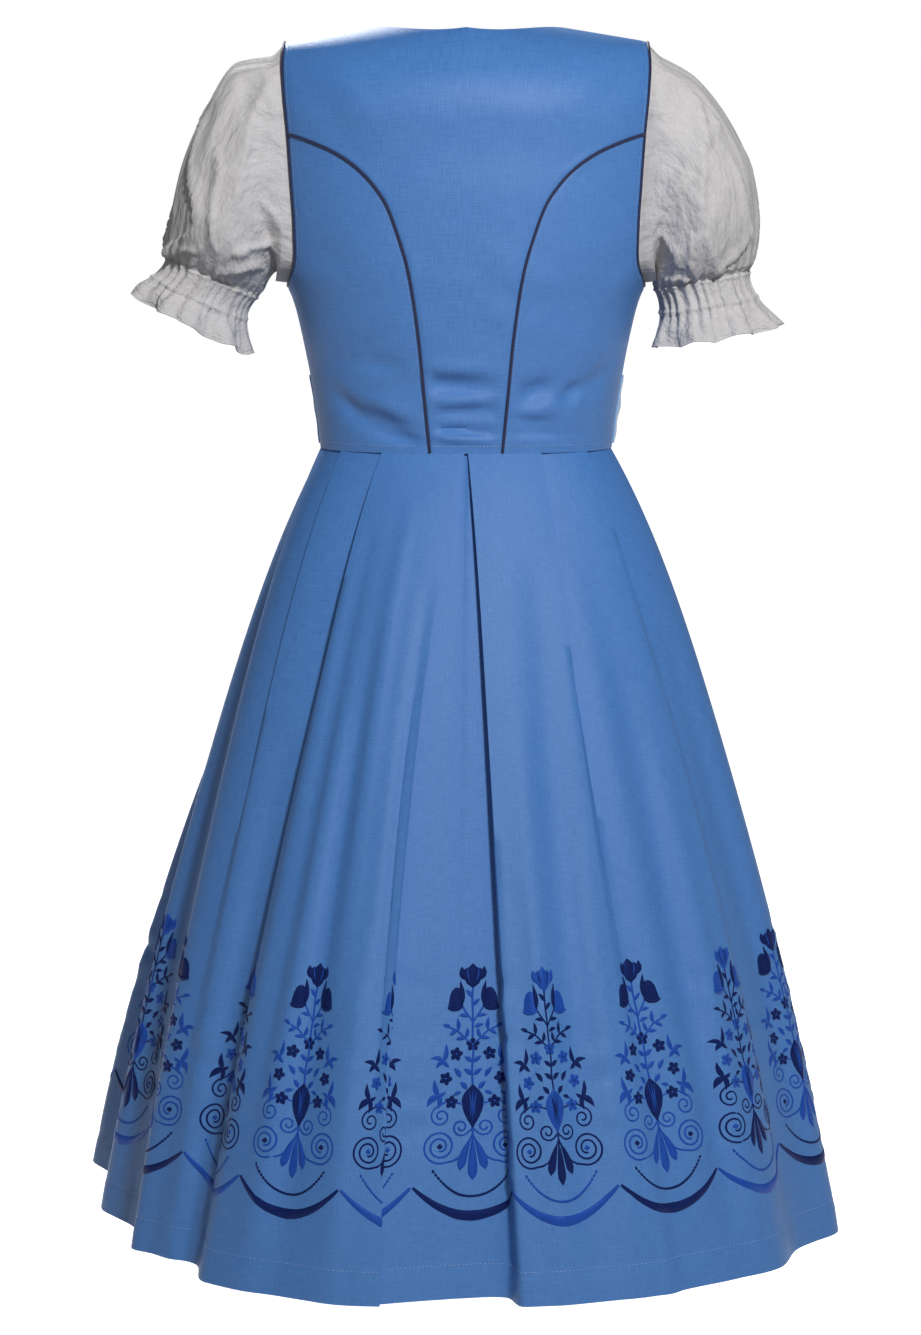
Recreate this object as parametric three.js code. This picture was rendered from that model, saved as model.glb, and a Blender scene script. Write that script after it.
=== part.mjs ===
// A dirndl in its worn form: princess seamed bodice, pleated midi skirt and puff sleeved blouse.
// Millimetres, +Z up. The front faces -Y, the wearer's left is +X.
// The origin lies midway between the shoulder seams, where the wearer's shoulders carry it.
import * as THREE from 'three';

// Driving sizes
const WAIST_Z = -358;
const HEM_Z = -1059;
const UNDERARM_Z = -216;
const CLOTH = 1.2;
const BLOUSE_CLOTH = 1;
const SEAM_GAP = 0.3;
const SHOULDER_RISE = 70;
const SHOULDER_PITCH = 0.1625;
const SHOULDER_PEAK = 26.7;
const ROUNDNESS = 2.3;
const RIDGE = SHOULDER_RISE * (Math.PI / 2 - 1) - SEAM_GAP / 2;
const HALF_WAIST = 360;
const HEM_CLOTH = 2310;
const NECK_HALF = 94;
const BACK_NECK_DIP = 41.3;
const FRONT_NECK_Z = -150;
const PIPING_HALF_WIDTH = 1.25;
const PIPING_HALF_HEIGHT = 0.9;
const QUARTER_TURN = Math.PI / 2;

const COLOURS = { blue: '#5c90cd', navy: '#1f2743', satin: '#79b4e6', cotton: '#eeeef2' };

function material(colour, roughness) {
  return new THREE.MeshStandardMaterial({ color: colour, roughness, metalness: 0 });
}

// The round of the bodice by height: its half width, and its depth behind and before the side seams
const BODICE_ROUND = [
  { height: -358, half: 131, back: 88, front: 98 },
  { height: -330, half: 134, back: 91, front: 102 },
  { height: -304, half: 138, back: 94, front: 107 },
  { height: -264, half: 145.5, back: 99, front: 118 },
  { height: -237, half: 151.5, back: 102, front: 125 },
  { height: -224, half: 155.5, back: 103, front: 126 },
  { height: -216, half: 159, back: 104, front: 126 },
  { height: -200, half: 166, back: 105.5, front: 125 },
  { height: -170, half: 174, back: 106, front: 122 },
  { height: -140, half: 179, back: 106, front: 117 },
  { height: -100, half: 183, back: 105, front: 110 },
  { height: -50, half: 186, back: 107, front: 103 },
  { height: 0, half: 188, back: 108, front: 100 },
  { height: 60, half: 188, back: 108, front: 100 },
];

// The curved back seam: its distance from the centre back by height
const BACK_PRINCESS = [
  { height: -358, across: 31.6 }, { height: -311, across: 36.2 }, { height: -262, across: 40.7 },
  { height: -227, across: 45.2 }, { height: -198, across: 50.3 }, { height: -166, across: 59.7 },
  { height: -142, across: 69 }, { height: -125, across: 80.6 }, { height: -112, across: 93.1 },
  { height: -98.7, across: 112 }, { height: -88.6, across: 134.2 }, { height: -81.4, across: 154.6 },
];

const FRONT_PRINCESS = [
  { height: -358, across: 42 }, { height: -300, across: 52 }, { height: -250, across: 66 },
  { height: -215, across: 76 }, { height: -180, across: 90 }, { height: -150, across: 107 },
  { height: -125, across: 128 }, { height: -110, across: 143 },
];

// The armhole: its distance from the middle by height, on the back and on the front
const ARMHOLE = [
  { height: -216, back: 159, front: 159 },
  { height: -214, back: 158, front: 157.6 },
  { height: -211, back: 157, front: 156 },
  { height: -207, back: 155.4, front: 153.6 },
  { height: -201, back: 152.6, front: 150.4 },
  { height: -194, back: 150.4, front: 147.4 },
  { height: -184, back: 149.4, front: 144.8 },
  { height: -157, back: 149.8, front: 142 },
  { height: -131, back: 151.4, front: 142 },
  { height: -81.4, back: 154.6, front: 146 },
  { height: -45, back: 158, front: 151.5 },
  { height: -15, back: 159.5, front: 156 },
  { height: 19, back: 159, front: 158.5 },
  { height: 40, back: 159, front: 159 },
];

const FRONT_NECK = [
  { height: -150, across: 0 }, { height: -149, across: 22 }, { height: -146, across: 40 },
  { height: -140, across: 52 }, { height: -124, across: 63 }, { height: -90, across: 72 },
  { height: -40, across: 80 }, { height: 0, across: 88 }, { height: 40, across: 94 },
];

// A smooth curve through the rows of a table, with no overshoot between them
function tableValue(table, column, at, key = 'height') {
  const last = table.length - 1;
  if (at <= table[0][key]) return table[0][column];
  if (at >= table[last][key]) return table[last][column];
  let row = 0;
  while (table[row + 1][key] < at) row += 1;
  const slope = (index) => (table[index + 1][column] - table[index][column]) / (table[index + 1][key] - table[index][key]);
  const tangent = (index) => {
    if (index === 0) return slope(0);
    if (index === last) return slope(last - 1);
    const before = slope(index - 1);
    const after = slope(index);
    return before * after <= 0 ? 0 : (2 * before * after) / (before + after);
  };
  const span = table[row + 1][key] - table[row][key];
  const t = (at - table[row][key]) / span;
  const bend = t * t * (3 - 2 * t);
  const rise = t * (1 - t) * (1 - t) * span * tangent(row);
  const fall = t * t * (1 - t) * span * tangent(row + 1);
  return table[row][column] * (1 - bend) + table[row + 1][column] * bend + rise - fall;
}

// The bodice's outer face. The angle runs from 0 at the centre back to 90 degrees at the wearer's left
// side seam and 180 at the centre front. Above the shoulder rise the round closes over the shoulder.
function bodiceFace(angle, height) {
  const sine = Math.sin(angle);
  const cosine = Math.cos(angle);
  const power = 2 / ROUNDNESS;
  const depth = tableValue(BODICE_ROUND, cosine >= 0 ? 'back' : 'front', height);
  const x = tableValue(BODICE_ROUND, 'half', height) * Math.sign(sine) * Math.abs(sine) ** power;
  const y = depth * Math.sign(cosine) * Math.abs(cosine) ** power;
  if (height <= -SHOULDER_RISE) return new THREE.Vector3(x, y, height);
  const turn = (height + SHOULDER_RISE) / SHOULDER_RISE;
  const peak = SHOULDER_PEAK - SHOULDER_PITCH * Math.abs(x);
  return new THREE.Vector3(x, y * Math.cos(turn), -SHOULDER_RISE + (SHOULDER_RISE + peak) * Math.sin(turn));
}

function bodiceNormal(angle, height) {
  const across = bodiceFace(angle + 0.004, height).sub(bodiceFace(angle - 0.004, height));
  const up = bodiceFace(angle, height + 0.5).sub(bodiceFace(angle, height - 0.5));
  return up.cross(across).normalize();
}

function bodicePoint(angle, height, out) {
  return bodiceFace(angle, height).addScaledVector(bodiceNormal(angle, height), out);
}

// The angle at which the face passes a given distance from the middle, behind or before
function angleAt(across, height, front = false) {
  const half = tableValue(BODICE_ROUND, 'half', height);
  const angle = Math.asin(Math.min(1, (across / half) ** (ROUNDNESS / 2)));
  return front ? Math.PI - angle : angle;
}

// A closed wall between an outer and an inner net of points, which may close round on itself
function wall(outer, inner, closedAcross = false) {
  const rows = outer.length;
  const columns = outer[0].length;
  const positions = [];
  const faces = [];
  for (const net of [outer, inner]) for (const row of net) for (const point of row) positions.push(...point.toArray());
  const index = (layer, row, column) => (layer * rows + row) * columns + (column % columns);
  const quad = (a, b, c, d) => faces.push(a, b, c, a, c, d);
  const rowSpans = rows - 1;
  const columnSpans = closedAcross ? columns : columns - 1;
  for (let row = 0; row < rowSpans; row += 1) {
    for (let column = 0; column < columnSpans; column += 1) {
      quad(index(0, row, column), index(0, row, column + 1), index(0, row + 1, column + 1), index(0, row + 1, column));
      quad(index(1, row, column), index(1, row + 1, column), index(1, row + 1, column + 1), index(1, row, column + 1));
    }
  }
  for (let column = 0; column < columnSpans; column += 1) {
    quad(index(0, 0, column + 1), index(0, 0, column), index(1, 0, column), index(1, 0, column + 1));
    quad(index(0, rows - 1, column), index(0, rows - 1, column + 1), index(1, rows - 1, column + 1), index(1, rows - 1, column));
  }
  for (let row = 0; !closedAcross && row < rowSpans; row += 1) {
    quad(index(0, row, 0), index(0, row + 1, 0), index(1, row + 1, 0), index(1, row, 0));
    quad(index(0, row + 1, columns - 1), index(0, row, columns - 1), index(1, row, columns - 1), index(1, row + 1, columns - 1));
  }
  return solid(positions, faces);
}

// Turns a closed body's faces outward by the sign of its volume
function solid(positions, faces) {
  const corner = (i) => new THREE.Vector3().fromArray(positions, faces[i] * 3);
  let volume = 0;
  for (let i = 0; i < faces.length; i += 3) volume += corner(i).dot(corner(i + 1).cross(corner(i + 2)));
  const facing = volume > 0 ? faces : faces.slice().reverse();
  const geometry = new THREE.BufferGeometry();
  geometry.setAttribute('position', new THREE.Float32BufferAttribute(positions, 3));
  geometry.setIndex(facing);
  geometry.computeVertexNormals();
  return geometry;
}

const dirndl = new THREE.Group();
dirndl.name = 'dirndl';

function sew(name, geometry, cloth) {
  const mesh = new THREE.Mesh(geometry, cloth);
  mesh.name = name;
  dirndl.add(mesh);
}

const steps = (count) => Array.from({ length: count + 1 }, (_, index) => index / count);
const mix = (from, to, share) => from + (to - from) * share;

// Bodice panels. Each row of a panel runs at one height from one edge to the other.
const LOWER_HEIGHTS = [-358, -330, -302, -272, -244, -226, -216];
const SIDE_HEIGHTS = [-214, -211, -206, -198, -186, -165, -142, -125, -112];
const BACK_TIP_HEIGHTS = [-103, -95, -89, -85];
const SHOULDER_HEIGHTS = [-80, -62, -42, -22, -4, 12, 27];

function bodicePanel(name, heights, edges, columns, cloth, outside = 0, thickness = CLOTH) {
  const net = (out) => heights.map((height) => {
    const [from, to] = edges(height);
    return steps(columns).map((share) => bodicePoint(mix(from, to, share), height, out));
  });
  sew(name, wall(net(outside), net(outside - thickness)), cloth);
}

const twill = () => material(COLOURS.blue, 0.8);
const half = SEAM_GAP / 2;

function armholeAt(height, front) {
  return height <= UNDERARM_Z ? Infinity : tableValue(ARMHOLE, front ? 'front' : 'back', height);
}

function sideAngle(height, front) {
  const seam = half / 110;
  if (height <= UNDERARM_Z) return front ? QUARTER_TURN + seam : QUARTER_TURN - seam;
  return angleAt(armholeAt(height, front), height, front);
}

for (const [suffix, hand] of [['l', 1], ['r', -1]]) {
  bodicePanel(`back_side_${suffix}`, [...LOWER_HEIGHTS, ...SIDE_HEIGHTS, ...BACK_TIP_HEIGHTS], (height) => [
    hand * angleAt(tableValue(BACK_PRINCESS, 'across', height) + half, height),
    hand * sideAngle(height, false),
  ], 5, twill());
  bodicePanel(`front_side_${suffix}`, [...LOWER_HEIGHTS, ...SIDE_HEIGHTS], (height) => [
    hand * angleAt(tableValue(FRONT_PRINCESS, 'across', height) + half, height, true),
    hand * sideAngle(height, true),
  ], 5, twill());
}

// The centre back, with its straps up to the shoulder seams and the neckline between them
function backCentre() {
  const heights = [...LOWER_HEIGHTS, ...SIDE_HEIGHTS, ...BACK_TIP_HEIGHTS, ...SHOULDER_HEIGHTS, RIDGE];
  const straight = SHOULDER_HEIGHTS[0];
  const columns = 12;
  const net = (out) => heights.map((height) => steps(columns).map((share) => {
    const side = 2 * share - 1;
    const neck = Math.min(1, (Math.abs(side) * 159) / NECK_HALF) ** 2.2;
    const top = RIDGE - BACK_NECK_DIP * (1 - neck);
    const level = height <= straight ? height : mix(straight, top, (height - straight) / (RIDGE - straight));
    const across = level < -81.4 ? tableValue(BACK_PRINCESS, 'across', level) - half : armholeAt(level, false);
    return bodicePoint(Math.sign(side) * angleAt(Math.abs(side) * across, level), level, out);
  }));
  sew('back_centre', wall(net(0), net(-CLOTH)), twill());
}
backCentre();

// The front panels, from the closure and the scooped neckline to the curved seam and the armhole
const FRONT_HEIGHTS = [
  ...LOWER_HEIGHTS, ...SIDE_HEIGHTS.slice(0, 6), -152, -149, -146, -140, -125, -112, -90, -65, -42, -22, -4, 12, 27, RIDGE,
];
function frontEdge(height) {
  const princess = tableValue(FRONT_PRINCESS, 'across', height) - half;
  return height < -110 ? princess : armholeAt(height, true);
}
for (const [suffix, hand] of [['l', 1], ['r', -1]]) {
  bodicePanel(`front_centre_${suffix}`, FRONT_HEIGHTS, (height) => [
    hand * angleAt(Math.max(half, height < FRONT_NECK_Z ? 0 : tableValue(FRONT_NECK, 'across', height)), height, true),
    hand * angleAt(frontEdge(height), height, true),
  ], 5, twill());
}

// The blouse's body, a cropped shell that lies just inside the bodice
const BLOUSE_INSET = 9;
const BLOUSE_OUT = -CLOTH - 1.8;
const BLOUSE_HEIGHTS = [-264, -240, -226, -221, -216, -208, -196, -175, -142, -105, -70, -45, -20, 4, 22, RIDGE];
function blouseEdge(height, front) {
  const seam = half / 110;
  const limit = front ? QUARTER_TURN + seam : QUARTER_TURN - seam;
  const shifted = height + BLOUSE_INSET + 1;
  if (shifted <= UNDERARM_Z + 1) return limit;
  const inset = BLOUSE_INSET * Math.min(1, (shifted - UNDERARM_Z) / 20);
  const level = height < -190 ? shifted : height;
  const angle = angleAt(tableValue(ARMHOLE, front ? 'front' : 'back', level) - inset, height, front);
  return front ? Math.max(limit, angle) : Math.min(limit, angle);
}
function blouseBody(name, front, neckOf) {
  const straight = -175;
  const columns = 14;
  const net = (out) => BLOUSE_HEIGHTS.map((height) => steps(columns).map((share) => {
    const side = 2 * share - 1;
    const top = neckOf(Math.abs(side) * 150);
    const level = height <= straight ? height : mix(straight, top, (height - straight) / (RIDGE - straight));
    const edge = blouseEdge(level, front);
    const angle = front ? Math.PI - side * (Math.PI - edge) : side * edge;
    return bodicePoint(angle, level, out);
  }));
  sew(name, wall(net(BLOUSE_OUT), net(BLOUSE_OUT - BLOUSE_CLOTH)), material(COLOURS.cotton, 0.9));
}
blouseBody('blouse_back', false, (across) => RIDGE - (BACK_NECK_DIP + 6) * (1 - Math.min(1, across / 96) ** 2.2));
blouseBody('blouse_front', true, (across) => RIDGE - 182 * (1 - Math.min(1, across / 90) ** 4));

// The armhole as a closed loop: over the back from the shoulder seam, under the arm and up the front
const LOOP_HEIGHTS = [40, 28, 15, 0, -18, -38, -60, -85, -110, -135, -158, -178, -192, -201, -207, -211, -214, -215.4];
function armholeLoop(hand, count) {
  const place = (height, front) => {
    const level = Math.min(height, RIDGE + half);
    const angle = hand * angleAt(tableValue(ARMHOLE, front ? 'front' : 'back', level), level, front);
    return { point: bodiceFace(angle, level), normal: bodiceNormal(angle, level) };
  };
  const under = { point: bodiceFace(hand * QUARTER_TURN, UNDERARM_Z), normal: bodiceNormal(hand * QUARTER_TURN, UNDERARM_Z) };
  const behind = [...LOOP_HEIGHTS.map((height) => place(height, false)), under];
  const before = [under, ...LOOP_HEIGHTS.slice().reverse().map((height) => place(height, true))];
  const evenly = (line) => {
    const lengths = [0];
    for (let i = 1; i < line.length; i += 1) lengths.push(lengths[i - 1] + line[i].point.distanceTo(line[i - 1].point));
    return steps(count / 2).slice(0, -1).map((share) => {
      const at = share * lengths[lengths.length - 1];
      let i = 1;
      while (lengths[i] < at) i += 1;
      const part = (at - lengths[i - 1]) / (lengths[i] - lengths[i - 1]);
      return {
        point: line[i - 1].point.clone().lerp(line[i].point, part),
        normal: line[i - 1].normal.clone().lerp(line[i].normal, part).normalize(),
      };
    });
  };
  const loop = [...evenly(behind), ...evenly(before)];
  return loop.map((place, index) => {
    const next = loop[(index + 1) % loop.length].point;
    const before = loop[(index + loop.length - 1) % loop.length].point;
    const along = next.clone().sub(before).normalize();
    const away = along.clone().cross(place.normal).normalize().multiplyScalar(hand);
    return { ...place, away };
  });
}

// A cord of piping along a line of places, flat to the cloth below it
function piping(line, closed) {
  const sides = 6;
  const rings = line.map(({ centre, across, normal }) => steps(sides).slice(0, -1).map((share) => {
    const turn = share * 2 * Math.PI;
    return centre.clone()
      .addScaledVector(across, PIPING_HALF_WIDTH * Math.cos(turn))
      .addScaledVector(normal, PIPING_HALF_HEIGHT * Math.sin(turn));
  }));
  const positions = rings.flat().flatMap((point) => point.toArray());
  const faces = [];
  const spans = closed ? rings.length : rings.length - 1;
  const index = (ring, side) => (ring % rings.length) * sides + (side % sides);
  for (let ring = 0; ring < spans; ring += 1) {
    for (let side = 0; side < sides; side += 1) {
      faces.push(index(ring, side), index(ring, side + 1), index(ring + 1, side + 1));
      faces.push(index(ring, side), index(ring + 1, side + 1), index(ring + 1, side));
    }
  }
  for (let side = 1; !closed && side < sides - 1; side += 1) {
    faces.push(index(0, 0), index(0, side + 1), index(0, side));
    faces.push(index(rings.length - 1, 0), index(rings.length - 1, side), index(rings.length - 1, side + 1));
  }
  return solid(positions, faces);
}

function princessPiping(hand) {
  const heights = [-357, -335, -311, -286, -262, -244, -227, -212, -198, -182, -166, -154, -142, -133, -125, -118, -112,
    -105, -98.7, -93.5, -88.6, -84.8, -82.6];
  const line = heights.map((height) => {
    const angle = hand * angleAt(tableValue(BACK_PRINCESS, 'across', height), height);
    const normal = bodiceNormal(angle, height);
    return { centre: bodiceFace(angle, height).addScaledVector(normal, SEAM_GAP + PIPING_HALF_HEIGHT), normal };
  });
  return line.map((place, index) => {
    const next = line[Math.min(index + 1, line.length - 1)].centre;
    const before = line[Math.max(index - 1, 0)].centre;
    const across = next.clone().sub(before).cross(place.normal).normalize();
    return { ...place, across };
  });
}

for (const [suffix, hand] of [['l', 1], ['r', -1]]) {
  sew(`princess_piping_${suffix}`, piping(princessPiping(hand), false), material(COLOURS.navy, 0.6));
  const edge = armholeLoop(hand, 44).map(({ point, normal, away }) => ({
    centre: point.clone().addScaledVector(away, PIPING_HALF_WIDTH + SEAM_GAP + 0.1).addScaledVector(normal, -0.5),
    across: away,
    normal,
  }));
  sew(`armhole_piping_${suffix}`, piping(edge, true), material(COLOURS.navy, 0.6));
}

// The satin band across the front of the waist. It stands away from the bodice next to the side seams.
function waistBand() {
  const thickness = 1;
  const heights = [-355, -340, -322, -304, -294];
  const spread = [0, 0.01, 0.03, 0.06, 0.1, 0.15, 0.21, 0.28, 0.35, 0.42, 0.5, 0.58, 0.65, 0.72, 0.79, 0.85, 0.9, 0.94, 0.97,
    0.99, 1];
  const net = (inside) => heights.map((height, row) => spread.map((share) => {
    const angle = mix(QUARTER_TURN + 0.01, 3 * QUARTER_TURN - 0.01, share);
    const fromSide = Math.min(share, 1 - share);
    const belly = Math.sin((Math.PI * row) / (heights.length - 1));
    const reach = share > 0.5 ? 6 : 3;
    const free = Math.min(1, fromSide / 0.03);
    const stand = 1.3 + free * (2.2 + reach * Math.max(0, 1 - fromSide / 0.2) * (0.45 + 0.55 * belly));
    return bodicePoint(angle, height, stand - inside * thickness);
  }));
  return wall(net(0), net(1));
}
sew('waist_band', waistBand(), material(COLOURS.satin, 0.35));

// The front closure: small domed buttons over the meeting edges
const BUTTON_RADIUS = 6;
const BUTTON_HEIGHTS = [-280, -254, -228, -202, -176];
BUTTON_HEIGHTS.forEach((height, index) => {
  const profile = [[0, 0], [BUTTON_RADIUS, 0], [BUTTON_RADIUS, 1.2], [4.2, 2.4], [0, 2.8]];
  const geometry = new THREE.LatheGeometry(profile.map(([radius, rise]) => new THREE.Vector2(radius, rise)), 12);
  const normal = bodiceNormal(Math.PI, height);
  const mesh = new THREE.Mesh(geometry, material(COLOURS.navy, 0.3));
  mesh.name = `button_${index + 1}`;
  mesh.quaternion.setFromUnitVectors(new THREE.Vector3(0, 1, 0), normal);
  mesh.position.copy(bodicePoint(Math.PI, height, SEAM_GAP + 0.3));
  dirndl.add(mesh);
});

// The skirt's folds in order along the cloth. cloth: place along the hem edge. waist: place along the
// waistline from the centre back. tuck: how far the fold lies behind the waistline. x, y: its place at
// the hem. bow: how far it swings sideways at half height.
const SKIRT_FOLDS = [
  { name: 'centre front', cloth: -1155, waist: -360, tuck: 0, x: 0, y: -300, bow: 0 },
  { name: 'right front inner', cloth: -1045, waist: -309, tuck: 7.5, x: -108, y: -284, bow: 0 },
  { name: 'right front edge', cloth: -995, waist: -322, tuck: 0, x: -148, y: -300, bow: 0 },
  { name: 'right front second inner', cloth: -915, waist: -275, tuck: 7.5, x: -214, y: -262, bow: 0 },
  { name: 'right front second edge', cloth: -870, waist: -288, tuck: 0, x: -252, y: -262, bow: 0 },
  { name: 'right hip inner', cloth: -795, waist: -235, tuck: 7.5, x: -288, y: -204, bow: 0 },
  { name: 'right hip edge', cloth: -740, waist: -248, tuck: 0, x: -328, y: -180, bow: 0 },
  { name: 'right side inner', cloth: -660, waist: -192, tuck: 7.5, x: -312, y: -110, bow: 0 },
  { name: 'right side edge', cloth: -590, waist: -205, tuck: 0, x: -343, y: -50, bow: 0 },
  { name: 'right back fourth inner', cloth: -500, waist: -147, tuck: 7.5, x: -316, y: 30, bow: 0 },
  { name: 'right back fourth edge', cloth: -434, waist: -160, tuck: 0, x: -335, y: 93, bow: 0 },
  { name: 'right back third inner', cloth: -366, waist: -99, tuck: 7.5, x: -293, y: 146, bow: 0 },
  { name: 'right back third edge', cloth: -306, waist: -112, tuck: 0, x: -270, y: 201, bow: 6 },
  { name: 'right back second inner', cloth: -206, waist: -53, tuck: 7.5, x: -187, y: 256, bow: 14 },
  { name: 'right back second edge', cloth: -186, waist: -66, tuck: 0, x: -171, y: 269, bow: 16 },
  { name: 'right centre pleat edge', cloth: -61, waist: -1.6, tuck: 0, x: -50, y: 301, bow: 5 },
  { name: 'right centre pleat inner', cloth: -30, waist: -13, tuck: 7.5, x: -34, y: 277, bow: -5 },
  { name: 'back seam', cloth: 13, waist: 0, tuck: 8, x: 9, y: 280, bow: 0 },
  { name: 'left centre pleat inner', cloth: 90, waist: 13, tuck: 6, x: 80, y: 294, bow: 8 },
  { name: 'left centre pleat edge', cloth: 114, waist: 1.6, tuck: 0, x: 74, y: 300, bow: 8 },
  { name: 'left back panel', cloth: 157.5, waist: 30, tuck: 0, x: 112, y: 294, bow: 2 },
  { name: 'left back first edge', cloth: 282, waist: 75, tuck: 0, x: 224, y: 237, bow: -8 },
  { name: 'left back first inner', cloth: 329, waist: 62, tuck: 7.5, x: 228, y: 190, bow: -8 },
  { name: 'left back second edge', cloth: 368, waist: 118, tuck: 0, x: 262, y: 172, bow: 0 },
  { name: 'left back second inner', cloth: 384, waist: 105, tuck: 7.5, x: 271, y: 159, bow: 0 },
  { name: 'left back third edge', cloth: 411, waist: 165, tuck: 0, x: 296, y: 143, bow: 0 },
  { name: 'left back third inner', cloth: 457, waist: 152, tuck: 7.5, x: 286, y: 98, bow: 0 },
  { name: 'left side edge', cloth: 547, waist: 208, tuck: 0, x: 336, y: 18, bow: 0 },
  { name: 'left side inner', cloth: 600, waist: 194, tuck: 7.5, x: 318, y: -36, bow: 0 },
  { name: 'left hip edge', cloth: 700, waist: 250, tuck: 0, x: 358, y: -132, bow: 0 },
  { name: 'left hip inner', cloth: 748, waist: 237, tuck: 7.5, x: 318, y: -160, bow: 0 },
  { name: 'left front second edge', cloth: 816, waist: 288, tuck: 0, x: 290, y: -222, bow: 0 },
  { name: 'left front second inner', cloth: 856, waist: 275, tuck: 7.5, x: 252, y: -226, bow: 0 },
  { name: 'left front edge', cloth: 950, waist: 322, tuck: 0, x: 184, y: -294, bow: 0 },
  { name: 'left front inner', cloth: 990, waist: 309, tuck: 7.5, x: 148, y: -280, bow: 0 },
  { name: 'centre front again', cloth: 1155, waist: 360, tuck: 0, x: 0, y: -300, bow: 0 },
];

// The waistline as a table of angles by distance along it from the centre back
const WAIST_LINE = (() => {
  const table = [{ distance: 0, angle: 0 }];
  const count = 120;
  for (let i = 1; i <= count; i += 1) {
    const angle = (Math.PI * i) / count;
    const chord = bodiceFace(angle, WAIST_Z).distanceTo(bodiceFace((Math.PI * (i - 1)) / count, WAIST_Z));
    table.push({ distance: table[i - 1].distance + chord, angle });
  }
  const stretch = HALF_WAIST / table[count].distance;
  return table.map(({ distance, angle }) => ({ distance: distance * stretch, angle }));
})();

function waistPlan(distance, tuck) {
  const angle = Math.sign(distance) * tableValue(WAIST_LINE, 'angle', Math.abs(distance), 'distance');
  const point = bodicePoint(angle, WAIST_Z, -CLOTH / 2 - tuck);
  return new THREE.Vector2(point.x, point.y);
}

// The skirt spreads fastest just below the waist
function spreadAt(drop) {
  return drop + drop * (1 - drop) * (0.4 + 0.55 * (1 - drop) ** 4);
}

// The hem's fold at any index, going on round past the centre front
function hemFold(index) {
  const count = SKIRT_FOLDS.length - 1;
  const turns = Math.floor(index / count);
  const { cloth, x, y } = SKIRT_FOLDS[index - turns * count];
  return { cloth: cloth + turns * HEM_CLOTH, plan: new THREE.Vector2(x, y) };
}

// The hem's line between two folds, rounded through its neighbours
function hemPlan(span, share) {
  const [before, from, to, after] = [-1, 0, 1, 2].map((offset) => hemFold(span + offset));
  const length = to.cloth - from.cloth;
  const leave = to.plan.clone().sub(before.plan).multiplyScalar(length / (to.cloth - before.cloth));
  const arrive = after.plan.clone().sub(from.plan).multiplyScalar(length / (after.cloth - from.cloth));
  const bend = share * share * (3 - 2 * share);
  return from.plan.clone().multiplyScalar(1 - bend).addScaledVector(to.plan, bend)
    .addScaledVector(leave, share * (1 - share) * (1 - share))
    .addScaledVector(arrive, -share * share * (1 - share));
}

// A point of the skirt's middle face in plan, at a share of the drop from the waist to the hem
function skirtPlan(span, share, drop) {
  const from = SKIRT_FOLDS[span];
  const to = SKIRT_FOLDS[span + 1];
  const plan = waistPlan(mix(from.waist, to.waist, share), mix(from.tuck, to.tuck, share))
    .lerp(hemPlan(span, share), spreadAt(drop));
  plan.x += mix(from.bow, to.bow, share) * 4 * drop * (1 - drop);
  return plan;
}

// Columns of the whole round, each a place between two folds
const FOLD_STEPS = 3;
const skirtColumns = [];
for (let span = 0; span < SKIRT_FOLDS.length - 1; span += 1) {
  for (let step = 0; step < FOLD_STEPS; step += 1) skirtColumns.push({ span, share: step / FOLD_STEPS });
}

const SKIRT_DROPS = [0, 0.03, 0.08, 0.16, 0.28, 0.42, 0.58, 0.78, 1];
const columnOf = (name) => SKIRT_FOLDS.findIndex((fold) => fold.name === name) * FOLD_STEPS;

// The wall's two faces stand off the middle face along the mean of its neighbours' normals
function skirtRing(drop) {
  const middle = skirtColumns.map(({ span, share }) => skirtPlan(span, share, drop));
  const count = middle.length;
  const normalOf = (from, to) => new THREE.Vector2(to.y - from.y, from.x - to.x).normalize();
  return middle.map((point, index) => {
    const before = normalOf(middle[(index + count - 1) % count], point);
    const after = normalOf(point, middle[(index + 1) % count]);
    const spread = Math.max(0.25, 1 + before.dot(after));
    const offset = before.clone().add(after).multiplyScalar(CLOTH / 2 / spread);
    const along = middle[(index + 1) % count].clone().sub(middle[(index + count - 1) % count]).normalize();
    return { point, offset, along };
  });
}

function skirtPanel(name, from, to) {
  const count = skirtColumns.length;
  const width = (to - from + count) % count;
  const net = (side) => SKIRT_DROPS.map((drop) => {
    const ring = skirtRing(drop);
    const z = mix(WAIST_Z - SEAM_GAP, HEM_Z, drop);
    return steps(width).map((share, index) => {
      const { point, offset, along } = ring[(from + index) % count];
      const seam = index === 0 ? half : index === width ? -half : 0;
      return new THREE.Vector3(
        point.x + side * offset.x + seam * along.x,
        point.y + side * offset.y + seam * along.y,
        z,
      );
    });
  });
  sew(name, wall(net(1), net(-1)), twill());
}
const backSeam = columnOf('back seam');
const leftSeam = columnOf('left back third inner') + 1;
const rightSeam = columnOf('right side edge') + 1;
skirtPanel('skirt_back_left', backSeam, leftSeam);
skirtPanel('skirt_front', leftSeam, rightSeam);
skirtPanel('skirt_back_right', rightSeam, backSeam);

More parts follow.
